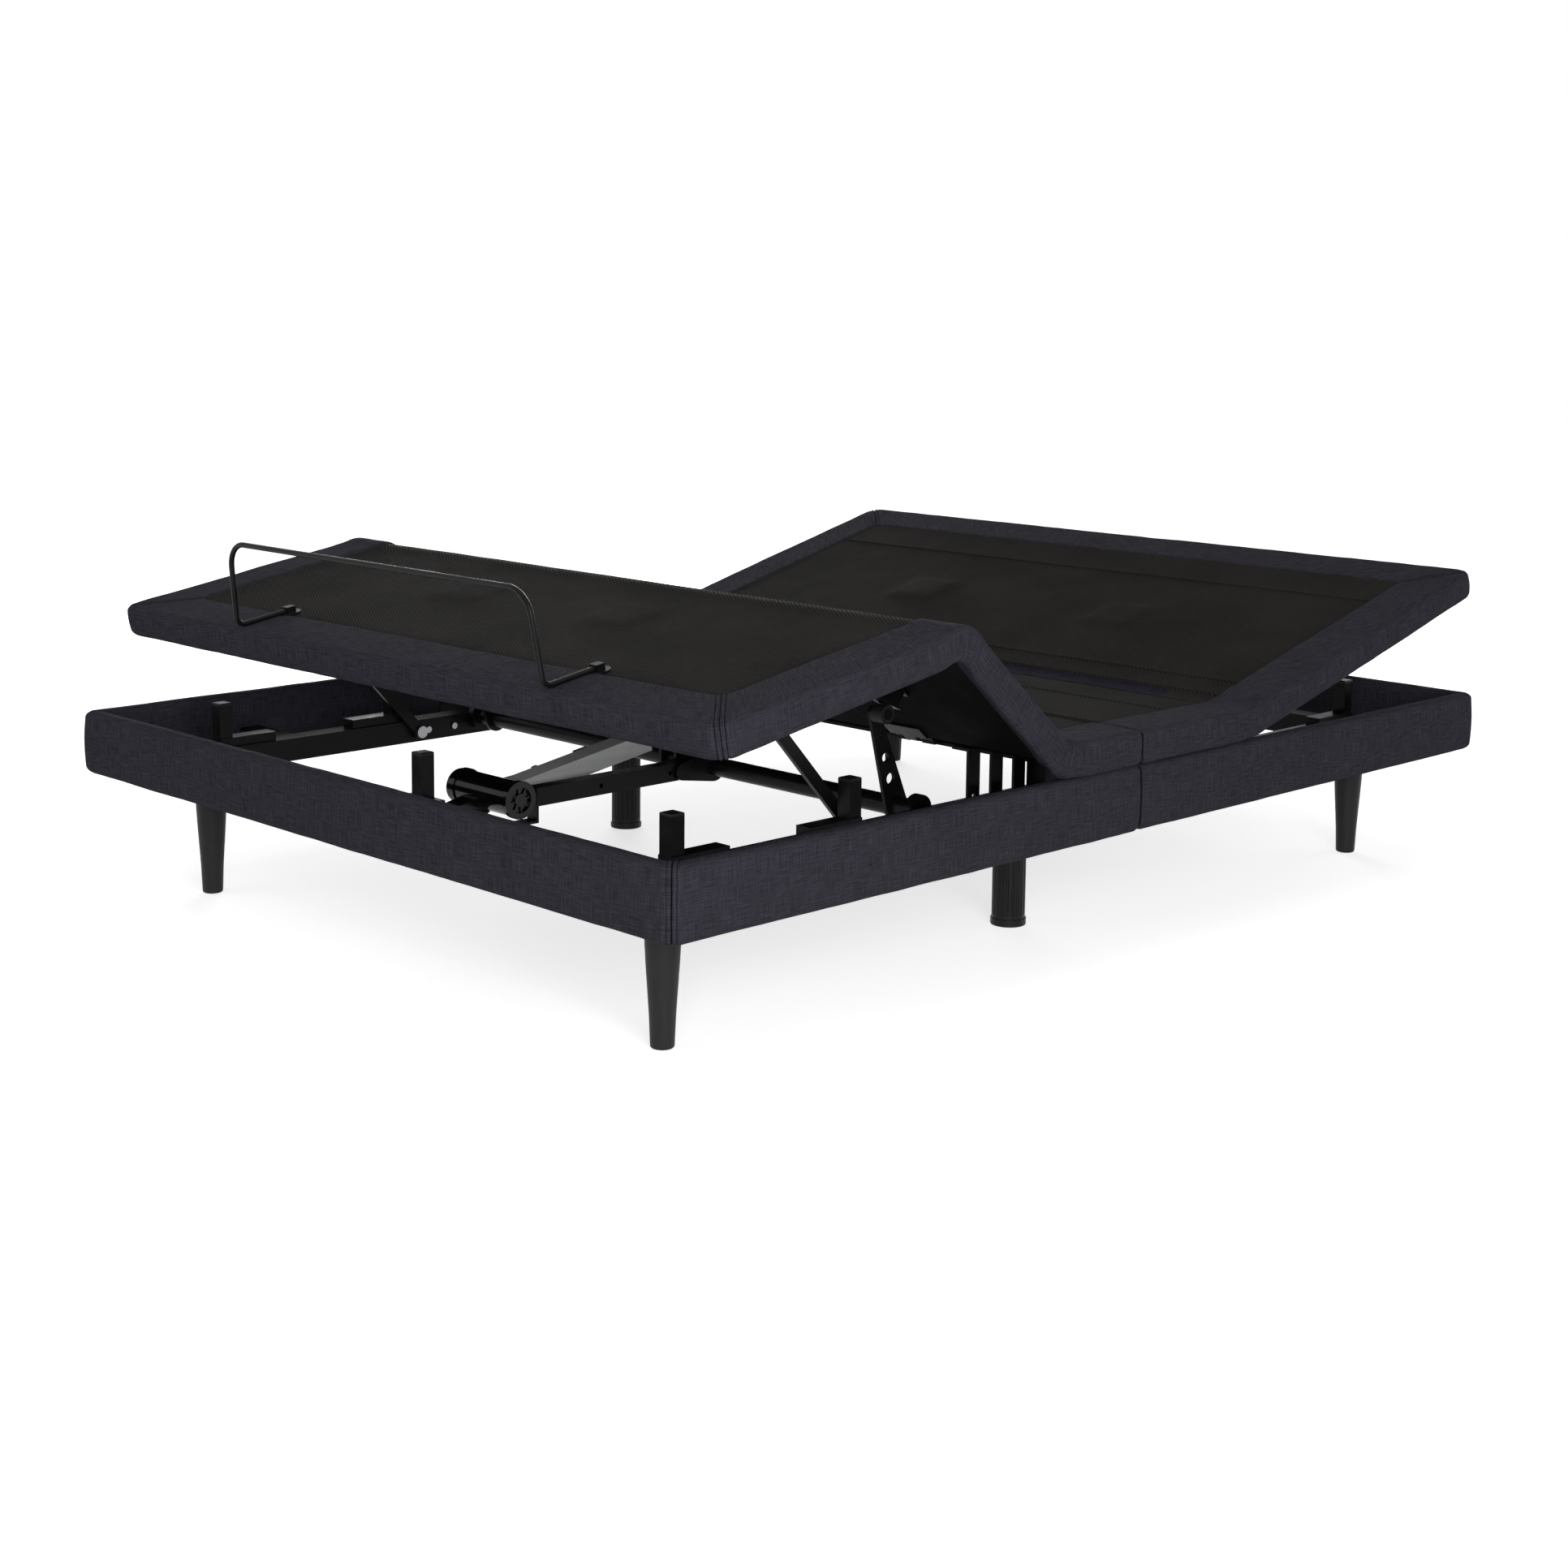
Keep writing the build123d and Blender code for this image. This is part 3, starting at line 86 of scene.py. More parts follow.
# Materials
class Shader:
    """A principled material with small helpers for its nodes."""

    def __init__(self, name, **values):
        self.material = bpy.data.materials.new(name)
        self.material.use_nodes = True
        self.tree = self.material.node_tree
        self.bsdf = self.tree.nodes["Principled BSDF"]
        for key, value in values.items():
            self.bsdf.inputs[key.replace("_", " ").title().replace("Ior", "IOR")].default_value = value

    def node(self, kind, inputs=(), **settings):
        made = self.tree.nodes.new("ShaderNode" + kind)
        for key, value in settings.items():
            setattr(made, key, value)
        for key, value in dict(inputs).items():
            if isinstance(value, bpy.types.NodeSocket):
                self.tree.links.new(value, made.inputs[key])
            else:
                made.inputs[key].default_value = value
        return made

    def coords(self, source, scale=(1, 1, 1), turn=0.0):
        where = self.node("TexCoord").outputs[source]
        return self.node("Mapping", {"Vector": where, "Rotation": (0, 0, turn), "Scale": scale}).outputs[0]

    def noise(self, coords, scale=1.0, detail=2.0, rough=0.5):
        inputs = {"Vector": coords, "Scale": scale, "Detail": detail, "Roughness": rough}
        return self.node("TexNoise", inputs).outputs["Fac"]

    def wave(self, coords, pitch):
        scale = 2 * math.pi / (20 * pitch)
        inputs = {"Vector": coords, "Scale": scale, "Distortion": 0.0}
        return self.node("TexWave", inputs, bands_direction="X").outputs["Fac"]

    def math(self, what, a, b):
        return self.node("Math", {0: a, 1: b}, operation=what).outputs[0]

    def spread(self, value, low, high, to_low=0.0, to_high=1.0):
        inputs = {"Value": value, "From Min": low, "From Max": high, "To Min": to_low, "To Max": to_high}
        return self.node("MapRange", inputs).outputs[0]

    def mix(self, factor, a, b):
        return self.node("Mix", {0: factor, 6: (*a, 1), 7: (*b, 1)}, data_type="RGBA").outputs[2]

    def set(self, name, value):
        self.tree.links.new(value, self.bsdf.inputs[name])

    def bump(self, height, distance, strength, under=None):
        inputs = {"Height": height, "Distance": distance, "Strength": strength}
        if under:
            inputs["Normal"] = under
        made = self.node("Bump", inputs).outputs[0]
        self.set("Normal", made)
        return made


def cloth(name, dark, light, pitch=0.0009):
    """Linen-look weave with uneven threads; its UVs are metres along the cloth."""
    s = Shader(name, roughness=0.9, specular_ior_level=0.04)
    warp = s.noise(s.coords("UV", (30, 760, 1)))
    weft = s.noise(s.coords("UV", (760, 30, 1)))
    broad = s.noise(s.coords("UV", (9, 9, 1)), detail=3.0)
    fine = s.noise(s.coords("UV", (900, 900, 1)), rough=0.6)
    lengthwise, crosswise = (s.wave(s.coords("UV", turn=a), pitch) for a in (0.0, math.pi / 2))
    threads = s.math("MAXIMUM", lengthwise, crosswise)
    slubs = s.math("ADD", s.spread(warp, 0.36, 0.66), s.spread(weft, 0.36, 0.66))
    slubs = s.math("ADD", slubs, s.spread(fine, 0.3, 0.7, 0.0, 0.25))
    shade = s.math("ADD", s.spread(slubs, 0.2, 1.9), s.spread(broad, 0.3, 0.7, -0.08, 0.08))
    s.set("Base Color", s.mix(shade, dark, light))
    s.set("Roughness", s.spread(slubs, 0.3, 1.7, 0.95, 0.8))
    under = s.bump(slubs, 0.0006, 0.6)
    s.bump(threads, 0.0002, 0.5, under)
    return s.material


def gripper_mesh(name, dark, light):
    """Knitted non-slip mesh: small raised dots on three thread directions."""
    pitch = 0.0046
    s = Shader(name, roughness=0.72, specular_ior_level=0.01)
    waves = [s.wave(s.coords("UV", turn=math.radians(a)), pitch) for a in (0, 60, -60)]
    dots = s.math("MULTIPLY", s.math("ADD", s.math("ADD", waves[0], waves[1]), waves[2]), 1 / 3)
    dots = s.spread(dots, 0.35, 0.75)
    broad = s.noise(s.coords("UV", (6, 6, 1)), detail=4.0)
    fine = s.noise(s.coords("UV", (700, 700, 1)))
    shade = s.math("ADD", s.math("MULTIPLY", dots, 0.7), s.spread(fine, 0.2, 0.8, -0.1, 0.25))
    shade = s.math("ADD", shade, s.spread(broad, 0.3, 0.7, -0.15, 0.15))
    s.set("Base Color", s.mix(shade, dark, light))
    s.set("Roughness", s.spread(dots, 0.0, 1.0, 0.82, 0.6))
    s.bump(dots, 0.0007, 0.7)
    return s.material


def coated(name, color, rough, grain, depth, level=0.5, spread=0.35):
    """Paint, powder coat, rubber or moulded plastic with an orange-peel skin and uneven gloss."""
    s = Shader(name, specular_ior_level=level)
    at = s.coords("Object")
    skin = s.noise(at, grain, rough=0.6)
    broad = s.noise(at, 14.0, 4.0, 0.6)
    scuff = s.noise(s.coords("Object", (90, 22, 90)), detail=5.0, rough=0.75)
    light = tuple(min(1.0, c * 1.8 + 0.001) for c in color)
    shade = s.math("ADD", s.spread(broad, 0.3, 0.75, 0.0, 0.6), s.spread(scuff, 0.62, 0.8, 0.0, 0.4))
    s.set("Base Color", s.mix(shade, color, light))
    gloss = s.spread(broad, 0.25, 0.75, rough * (1 - spread), rough * (1 + spread))
    s.set("Roughness", s.math("ADD", gloss, s.spread(scuff, 0.6, 0.85, 0.0, 0.12)))
    s.bump(skin, depth, 0.5)
    return s.material


def bare_metal(name, color, rough, streak, metal=1.0):
    """Drawn or plated metal; streak stretches its fine lines along one direction."""
    s = Shader(name, metallic=metal)
    lines = s.noise(s.coords("Object", streak), detail=4.0, rough=0.7)
    cloud = s.noise(s.coords("Object"), 40.0, 3.0)
    shade = s.math("ADD", s.spread(lines, 0.3, 0.7, 0.0, 0.7), s.spread(cloud, 0.3, 0.7, 0.0, 0.3))
    s.set("Base Color", s.mix(shade, tuple(c * 0.78 for c in color), color))
    s.set("Roughness", s.spread(lines, 0.25, 0.75, rough * 0.8, rough * 1.25))
    s.bump(lines, 0.00006, 0.4)
    return s.material


def painted_wood(name, dark, light):
    """Charcoal paint over a turned leg, with the grain showing faintly up its length."""
    s = Shader(name, specular_ior_level=0.15)
    grain = s.noise(s.coords("Object", (420, 420, 14)), detail=4.0, rough=0.7)
    broad = s.noise(s.coords("Object", (30, 30, 8)), detail=3.0)
    shade = s.math("ADD", s.spread(grain, 0.35, 0.7, 0.0, 0.6), s.spread(broad, 0.3, 0.7, 0.0, 0.4))
    s.set("Base Color", s.mix(shade, dark, light))
    s.set("Roughness", s.spread(grain, 0.3, 0.7, 0.42, 0.58))
    s.bump(grain, 0.00015, 0.5)
    return s.material


FABRIC = cloth("upholstery_cloth", (0.0155, 0.015, 0.0205), (0.0408, 0.0398, 0.0516))
# A darker copy of the upholstery cloth, used as painted shade in the grooves of the corner seams, under the
# rows of stitching, in the folded ends at the slit and along the seam grooves of the non-slip mesh.
SEAM_SHADE = cloth("seam_painted_shade", (0.003, 0.003, 0.005), (0.012, 0.012, 0.016))
TRIM = cloth("strip_cloth", (0.004, 0.004, 0.008), (0.016, 0.015, 0.024), pitch=0.0007)
MESH = gripper_mesh("gripper_mesh", (0.007, 0.0068, 0.0066), (0.034, 0.0322, 0.030))
THREAD = coated("stitch_thread", (0.010, 0.010, 0.014), 0.7, 900.0, 0.0001)
BOARD = coated("board_facing", (0.0018, 0.0018, 0.0019), 0.6, 520.0, 0.00012, level=0.01, spread=0.2)
LEG = painted_wood("charcoal_paint", (0.012, 0.012, 0.0123), (0.021, 0.021, 0.0217))
PLASTIC = coated("moulded_plastic", (0.007, 0.007, 0.0074), 0.38, 700.0, 0.00008, level=0.15)
MOTOR = coated("gloss_moulding", (0.0022, 0.0022, 0.0023), 0.14, 500.0, 0.00004, level=0.22)
ROLLER = coated("roller_nylon", (0.006, 0.006, 0.0063), 0.42, 500.0, 0.00008, level=0.2)
ALUMINIUM = bare_metal("satin_aluminium", (0.50, 0.505, 0.51), 0.5, (160, 4, 160), metal=0.0)
ZINC = bare_metal("zinc_plate", (0.36, 0.365, 0.38), 0.3, (60, 60, 60))
RUBBER = coated("cable_sheath", (0.010, 0.010, 0.010), 0.5, 800.0, 0.0001)
POWDER = coated("powder_coat", (0.0030, 0.0030, 0.0032), 0.34, 620.0, 0.00010, level=0.10)
GLOSS_BAR = coated("gloss_powder_coat", (0.0030, 0.0030, 0.0032), 0.34, 420.0, 0.00001, level=0.1)

# The nodes that aren't powder-coated steel
NODE_MATERIALS = {
    BOARD: "rail_boards_foot rail_boards_head seat_boards head_board thigh_board foot_board",
    LEG: "corner_legs",
    PLASTIC: "mid_legs leg_glides post_caps control_box head_massage_units foot_massage_units",
    MOTOR: "leg_motor head_motor",
    ROLLER: "leg_rollers head_rollers",
    ALUMINIUM: "leg_channel head_channel",
    ZINC: "frame_bolts strut_bolts leg_rod head_rod",
    RUBBER: "leg_motor_lead",
    GLOSS_BAR: "retainer_bar retainer_clips",
}
material_of = {name: material for material, names in NODE_MATERIALS.items() for name in names.split()}
for name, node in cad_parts.items():
    node.data.materials.clear()
    node.data.materials.append(material_of.get(name, POWDER))


# Shapes
def run_length(points):
    """Length along a row of points, from 0 at the first."""
    return np.concatenate([[0], np.cumsum(np.linalg.norm(np.diff(points, axis=0), axis=1))])


def bell(gap, width):
    """1 at no gap, falling off smoothly over the width."""
    return np.exp(-(gap / width) ** 2)


def ease(share):
    """Share from 0 to 1, made to start and stop gently."""
    return share * share * (3 - 2 * share)


def line(a, b, steps):
    """Points from a to b."""
    return [(a[0] + (b[0] - a[0]) * k / steps, a[1] + (b[1] - a[1]) * k / steps) for k in range(steps + 1)]


def arc(d, z, r, start, stop, steps):
    """Points on a circle round (d, z); angles in degrees, 0 towards the middle of the bed."""
    angles = np.radians(np.linspace(start, stop, steps))
    return [(d + r * math.cos(a), z + r * math.sin(a)) for a in angles]


def section(points):
    """Section arrays: inward offset, height, outward normal and length along the cloth."""
    p = np.array(points)
    along = np.gradient(p, axis=0)
    along /= np.linalg.norm(along, axis=1)[:, None]
    return {"d": p[:, 0], "z": p[:, 1], "nd": -along[:, 1], "nz": along[:, 0], "t": run_length(p)}


def deck_section():
    """Padded edge of a deck panel: hem below, round lower edge, side, round top edge, top border."""
    low, top, lip, inner = 0.0085, 0.008, 0.0128, 0.0032
    z = DECK_Z - 0.001
    points = line((0.044, BOARD_Z - 0.001), (lip + 0.004, BOARD_Z - 0.001), 3)
    points += line((lip, BOARD_Z - 0.003), (lip, z + inner + 0.002), 2)
    points += arc(lip - inner, z + inner, inner, 0, -90, 4)
    points += arc(low, z + low, low, 270, 180, 7)[1:]
    points += line((0, DECK_Z + low + 0.004), (0, DECK_TOP - top - 0.004), 5)
    points += arc(top, DECK_TOP - top, top, 180, 90, 8)
    points += line((top + 0.006, DECK_TOP), (BORDER - 0.004, DECK_TOP), 11)
    points += [(BORDER - 0.001, DECK_TOP - 0.0008), (BORDER + 0.0008, DECK_TOP - 0.0035)]
    return section(points)


def rail_section():
    """Padded rail: hem inside, bottom, outer face, top, and down the inner face."""
    inner, low, top, lip, hem = RAIL_T + 0.0005, 0.012, 0.010, 0.005, 0.003
    points = line((inner, RAIL_Z + 0.012), (inner, RAIL_Z + 0.004), 2)
    points += arc(inner - hem, RAIL_Z + hem, hem, 0, -90, 3)[1:]
    points += arc(low, RAIL_Z + low, low, 270, 180, 7)
    points += line((0, RAIL_Z + low + 0.006), (0, RAIL_TOP - top - 0.005), 11)
    points += arc(top, RAIL_TOP - top, top, 180, 90, 7)
    points += arc(inner - lip, RAIL_TOP - lip, lip, 90, 0, 5)
    points += line((inner, RAIL_TOP - lip - 0.006), (inner, RAIL_Z + 0.02), 9)
    return section(points)


def uneven(p, scale, seed):
    """Smooth unevenness of stretched cloth, about -1 to 1."""
    q = Vector(p) * scale + Vector((seed * 7.3, seed * 3.1, seed * 1.7))
    return noise.noise(q) + 0.5 * noise.noise(q * 2.7)


class Wrap:
    """Cloth drawn round three sides of the bed: one side, the end and the other side.

    Stations run along the edge and a section runs across it. A station has a segment (0 side, 1 corner,
    2 end, 3 corner, 4 side) and a share of the way along it. Offsets are taken before the shape is bent:
    push along the section's normal and fall straight down.
    """

    def __init__(self, shape, y_open, y_end, radius, step, ends=True, fold=True, hinge=None):
        self.shape, self.y_open, self.y_end, self.ends, self.folded = shape, y_open, y_end, ends, fold
        self.sign = 1 if y_end > y_open else -1
        self.radius = radius if ends else 0.0
        run = abs(y_end - y_open) - self.radius
        side = list(np.linspace(FOLD_RUN / run if fold else 0, 1, int(run / step)))
        if hinge is not None:
            middle = abs(hinge - y_open)
            side = [f for f in side if abs(f * run - middle) > HINGE_REACH]
            side += list(np.arange(middle - HINGE_REACH, middle + HINGE_REACH, HINGE_STEP) / run)
            side.sort()
        if fold:
            side = [along / run for along in FOLD_STATIONS] + side
        stations = [(0, f) for f in side]
        if ends:
            corner = np.linspace(0, 1, CORNER_STATIONS)[1:-1]
            stations += [(1, f) for f in corner]
            stations += [(2, f) for f in np.linspace(0, 1, int(2 * HALF_W / (END_STEP * step)))]
            stations += [(3, f) for f in corner]
        stations += [(4, 1 - f) for f in reversed(side)]
        self.seg = np.array([s for s, _ in stations])
        self.f = np.array([f for _, f in stations])
        self.push = np.zeros((len(stations), len(shape["d"])))
        self.fall = np.zeros(self.push.shape)
        if fold:
            inset = np.array(FOLD_INSETS)[:, None]
            self.push[:len(inset)] += inset
            self.push[-len(inset):] += inset[::-1]
        self.flat = self.points()
        self.s = run_length(self.flat[:, int(np.argmin(np.abs(shape["d"])))])

    def points(self):
        """Places of all points, before bending."""
        d = self.shape["d"] + self.push * self.shape["nd"]
        z = self.shape["z"] + self.push * self.shape["nz"] - self.fall
        seg, f, sign, r = self.seg[:, None], self.f[:, None], self.sign, self.radius
        half = HALF_W - d
        turn_y = self.y_end - sign * (d * self.ends + r)
        angle = f * math.pi / 2
        segments = [seg == k for k in range(4)]
        x = np.select(segments, [-half,
                                 -(half - r) - r * np.cos(angle),
                                 (2 * f - 1) * (half - r),
                                 (half - r) + r * np.sin(angle)], half)
        y = np.select(segments, [self.y_open + f * (turn_y - self.y_open),
                                 turn_y + sign * r * np.sin(angle),
                                 self.y_end - sign * d,
                                 turn_y + sign * r * np.cos(angle)], turn_y + f * (self.y_open - turn_y))
        return np.stack([x, y, z], axis=-1)

    def grid(self):
        """Places of all points and their cloth coordinates."""
        uv = np.broadcast_arrays(self.s[:, None], self.shape["t"][None, :])
        return self.points(), np.stack(uv, axis=-1)

    def from_corner(self):
        """Distance along the edge from the nearest corner's seam; far from any corner it is large."""
        reach = np.full(len(self.s), 9.0)
        for corner in (1, 3):
            here = np.where(self.seg == corner)[0]
            if len(here):
                gap = self.s - (self.s[here[0]] + self.s[here[-1]]) / 2
                reach = np.where(np.abs(gap) < np.abs(reach), gap, reach)
        return reach

    def settle(self, start, stop):
        """Let the lower edge down where the deck doesn't move, easing off from start to stop along Y."""
        amount, height = 0.0042, 0.02
        low = np.clip(1 - (self.shape["z"] - DECK_Z) / height, 0, 1)
        gone = np.clip((self.flat[..., 1] - start) / (stop - start), 0, 1)
        self.fall += amount * low * (1 - ease(gone))

    def seams(self, depth):
        """Sewn corner: a groove between two rows of top stitching."""
        gap = self.from_corner()[:, None]
        groove = -depth * bell(gap, 0.0021)
        rows = -0.0011 * bell(np.abs(gap) - SEAM_ROW, 0.0016)
        puff = 0.0009 * bell(np.abs(gap) - SEAM_ROW / 2, 0.0024)
        self.push += groove + rows + puff

    def shaded_rows(self):
        """Marks the rows of faces in a corner's groove, under its stitching and in the folded ends, which
        take the darker cloth as painted shade.
        """
        gap = np.abs(self.from_corner())
        gap = (gap[:-1] + gap[1:]) / 2
        rows = [int(g < 0.0019 or abs(g - SEAM_ROW) < 0.0011) for g in gap]
        if self.folded:
            rows[:2] = rows[-2:] = [1, 1]
        return rows

    def ripple(self, amount, scale, seed):
        """Make the cloth uneven all over."""
        for i in range(self.push.shape[0]):
            for j in range(self.push.shape[1]):
                self.push[i, j] += amount * uneven(self.flat[i, j], scale, seed)

    def crown(self, low, high, amount):
        """Swell the cloth between two levels of its outer face."""
        outside = self.shape["d"] < 0.006
        share = np.clip((self.shape["z"] - low) / (high - low), 0, 1)
        self.push += amount * np.sin(math.pi * share) * outside

    def gathers(self, y, pitch, width, amount, none, full, seed):
        """Short folds across the edge where a hinge squeezes the cloth, growing from level none to full."""
        z = self.shape["z"]
        near_edge = self.shape["d"] < 0.04
        mask = np.clip((z - none) / (full - none), 0, 1) * near_edge
        for i in range(self.push.shape[0]):
            gap = self.flat[i, :, 1] - y
            lean = gap + 0.10 * (z - none)
            wobble = noise.noise(Vector((self.flat[i, 0, 0] * 3, self.flat[i, 0, 1] * 60, seed)))
            fold = np.cos(2 * math.pi * lean / pitch + 1.6 * wobble + seed)
            self.push[i] += amount * fold * bell(gap, width) * mask


def turned(co, pivot, angle):
    """Turn points about an X axis through pivot (y, z); angle in degrees, one or one for each point."""
    a = np.radians(angle)
    c, s = np.cos(a), np.sin(a)
    y, z = co[..., 1] - pivot[0], co[..., 2] - pivot[1]
    return np.stack([co[..., 0], pivot[0] + c * y - s * z, pivot[1] + s * y + c * z], axis=-1)


def bent(co, pivot, angle, half, toward):
    """A point's weight depends on where it comes to lie, so it is found by going round.
    """
    start = np.array([0, pivot[0] - toward * half, pivot[1]])
    end = turned(np.array([0, pivot[0] + toward * half, pivot[1]]), pivot, angle)
    run = end - start
    weight = np.clip((co[..., 1] - start[1]) * toward / (2 * half), 0, 1)
    for _ in range(60):
        rest = turned(co, pivot, angle * weight)
        weight = 0.5 * weight + 0.5 * ease(np.clip((rest - start) @ run / (run @ run), 0, 1))
    return turned(co, pivot, angle * weight), start, end


def placed(name, data):
    """A new object in the scene."""
    made = bpy.data.objects.new(name, data)
    bpy.context.scene.collection.objects.link(made)
    return made


def build(name, grids, materials, thickness, zones=None, rows_marked=None):
    """One thick piece of cloth from grids of points with their cloth coordinates.

    Zones (by cloth coordinates) or marked rows take another material. Open edges are sharp.
    """
    verts, faces, uvs, marks = [], [], [], []
    for points, uv in grids:
        base = len(verts)
        rows, cols = points.shape[:2]
        verts += [tuple(p) for p in points.reshape(-1, 3)]
        uvs += [tuple(p) for p in uv.reshape(-1, 2)]
        for i in range(rows - 1):
            for j in range(cols - 1):
                a = base + i * cols + j
                faces.append((a, a + 1, a + cols + 1, a + cols))
                mark = rows_marked[i] if rows_marked else 0
                marks.append(zones(uv[i, j], uv[i + 1, j + 1]) if zones else mark)
    mesh = bpy.data.meshes.new(name)
    mesh.from_pydata(verts, [], faces)
    layer = mesh.uv_layers.new(name="cloth")
    for loop in mesh.loops:
        layer.data[loop.index].uv = uvs[loop.vertex_index]
    for material in materials:
        mesh.materials.append(material)
    mesh.polygons.foreach_set("material_index", marks)
    mesh.polygons.foreach_set("use_smooth", [True] * len(faces))
    mesh.update()
    uses = np.bincount([loop.edge_index for loop in mesh.loops], minlength=len(mesh.edges))
    mesh.edges.foreach_set("use_edge_sharp", [bool(n == 1) for n in uses])
    made = placed(name, mesh)
    modifier = made.modifiers.new("thickness", "SOLIDIFY")
    modifier.thickness, modifier.offset = thickness, -1.0
    return made


# Stitching
STITCH_PITCH = 0.0058
STITCH_LENGTH = 0.0040
STITCH_RADIUS = 0.00042
STITCH_LIFT = 0.00035
STITCH_SHARES = (-1.0, -0.85, -0.55, 0.0, 0.55, 0.85, 1.0)
STITCH_RING = 6


def seam_runs(wrap, points, first, last):
    """Rows of stitching beside each corner seam, from the finished points of a wrap, as (places, normals)."""
    gap = wrap.from_corner()
    runs = []
    for corner in (1, 3):
        here = np.where(wrap.seg == corner)[0]
        for side in (-1, 1):
            i = here[np.argmin(np.abs(gap[here] - side * SEAM_ROW))]
            normal = np.cross(np.gradient(points[i], axis=0), points[i + 1] - points[i - 1])[first:last]
            normal /= np.linalg.norm(normal, axis=1)[:, None]
            runs.append((points[i][first:last], normal))
    return runs


def stitches(name, runs, body):
    """Short raised threads along runs of (places, normals), as one mesh."""
    def on(values, at):
        return np.array([np.interp(at, steps, values[:, k]) for k in range(3)])

    verts, faces = [], []
    ring = STITCH_RING
    for places, normals in runs:
        steps = run_length(places)
        for at in np.arange(STITCH_PITCH / 2, steps[-1] - STITCH_PITCH / 2, STITCH_PITCH):
            p, n = on(places, at), on(normals, at)
            along = on(places, at + 0.001) - p
            along /= np.linalg.norm(along)
            n = n - along * (n @ along)
            n /= np.linalg.norm(n)
            side = np.cross(along, n)
            base = len(verts)
            for h in STITCH_SHARES:
                middle = p + along * h * STITCH_LENGTH / 2 + n * STITCH_LIFT * (1 - h * h)
                w = STITCH_RADIUS * math.sqrt(max(0.05, 1 - h * h))
                for a in (2 * math.pi * k / ring for k in range(ring)):
                    verts.append(tuple(middle + n * w * math.sin(a) + side * w * math.cos(a)))
            for i in range(len(STITCH_SHARES) - 1):
                for k in range(ring):
                    a, b = base + i * ring + k, base + i * ring + (k + 1) % ring
                    faces.append((a, b, b + ring, a + ring))
            faces.append(tuple(base + k for k in reversed(range(ring))))
            faces.append(tuple(base + (len(STITCH_SHARES) - 1) * ring + k for k in range(ring)))
    mesh = bpy.data.meshes.new(name)
    mesh.from_pydata(verts, [], faces)
    mesh.polygons.foreach_set("use_smooth", [True] * len(faces))
    mesh.materials.append(THREAD)
    made = placed(name, mesh)
    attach(made, body)


# Rails
def padded_cover(nodes):
    """Hides the solids of the pads, so the cloth piece built for them shows in their place."""
    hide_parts(*nodes)


def rail_cover(name, y_open, y_end, node, seed):
    """Cover of one half of the surround; returns the runs of its stitching."""
    wrap = Wrap(rail_section(), y_open, y_end, RAIL_CORNER, step=0.011)
    wrap.crown(RAIL_Z + 0.004, RAIL_TOP - 0.002, 0.0022)
    wrap.ripple(0.0007, 7.0, seed)
    wrap.ripple(0.0003, 28.0, seed + 1)
    wrap.seams(depth=0.0026)
    points, uv = wrap.grid()
    piece = build(name, [(points, uv)], [FABRIC, SEAM_SHADE], CLOTH_T, rows_marked=wrap.shaded_rows())
    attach(piece, "base")
    padded_cover([node])
    return seam_runs(wrap, points, first=6, last=-10)


rail_runs = rail_cover("rail_cloth_foot", SPLIT_Y - HALF_GAP, -HALF_L, "rail_cover_foot", 1)
rail_runs += rail_cover("rail_cloth_head", SPLIT_Y + HALF_GAP, HALF_L, "rail_cover_head", 2)


# Deck covers: each one bends at one hinge, over a length to both sides of it
HEAD_PIVOT, HEAD_FOLD = (HEAD_Y, AXIS_Z), 0.045
LEG_PIVOT, LEG_FOLD = (LEG_Y, AXIS_Z), 0.038
KNEE_PIVOT, KNEE_FOLD = (KNEE_Y, AXIS_Z), 0.05
SETTLE_RUN = 0.06
DECK_SEAM = 0.0022
EDGE_ROWS = {"first": 14, "last": -2}


def dress(wrap, seed):
    """Swell and unevenness of a deck cover."""
    wrap.crown(DECK_Z + 0.002, DECK_TOP - 0.002, 0.0018)
    wrap.ripple(0.0008, 8.0, seed)
    wrap.ripple(0.00035, 30.0, seed + 1)


def bent_head(flat):
    """Bent up at the head hinge."""
    return bent(flat, HEAD_PIVOT, HEAD_REST, HEAD_FOLD, 1)


def bent_thigh(flat):
    """Bent up at the leg hinge."""
    return bent(flat, LEG_PIVOT, LEG_REST, LEG_FOLD, -1)


def bent_foot(flat):
    """Bent at the knee and carried up by the thigh."""
    return (turned(p, LEG_PIVOT, LEG_REST) for p in bent(flat, KNEE_PIVOT, KNEE_REST, KNEE_FOLD, -1))


edge = deck_section()
head = Wrap(edge, SPLIT_Y + HALF_GAP, DECK_END, DECK_CORNER, step=0.008, hinge=HEAD_Y + 0.03)
thigh = Wrap(edge, SPLIT_Y - HALF_GAP, THIGH_SEAM_Y, DECK_CORNER, step=0.006, ends=False, hinge=LEG_Y)
foot = Wrap(edge, THIGH_SEAM_Y, -DECK_END, DECK_CORNER, step=0.007, fold=False, hinge=KNEE_Y)

dress(head, 3)
head.gathers(HEAD_Y + 0.035, pitch=0.016, width=0.022, amount=0.0012,
             none=DECK_TOP - 0.030, full=DECK_TOP, seed=1.0)
head.settle(HEAD_Y - SETTLE_RUN, HEAD_Y)
head.seams(DECK_SEAM)
flat, uv = head.grid()
shape, a, b = bent_head(flat)
head_cover = build("deck_cloth_head", [(shape, uv)], [FABRIC, SEAM_SHADE], CLOTH_T, rows_marked=head.shaded_rows())
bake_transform(head_cover)
padded_cover(["head_pad"])
head_runs = seam_runs(head, shape, **EDGE_ROWS)

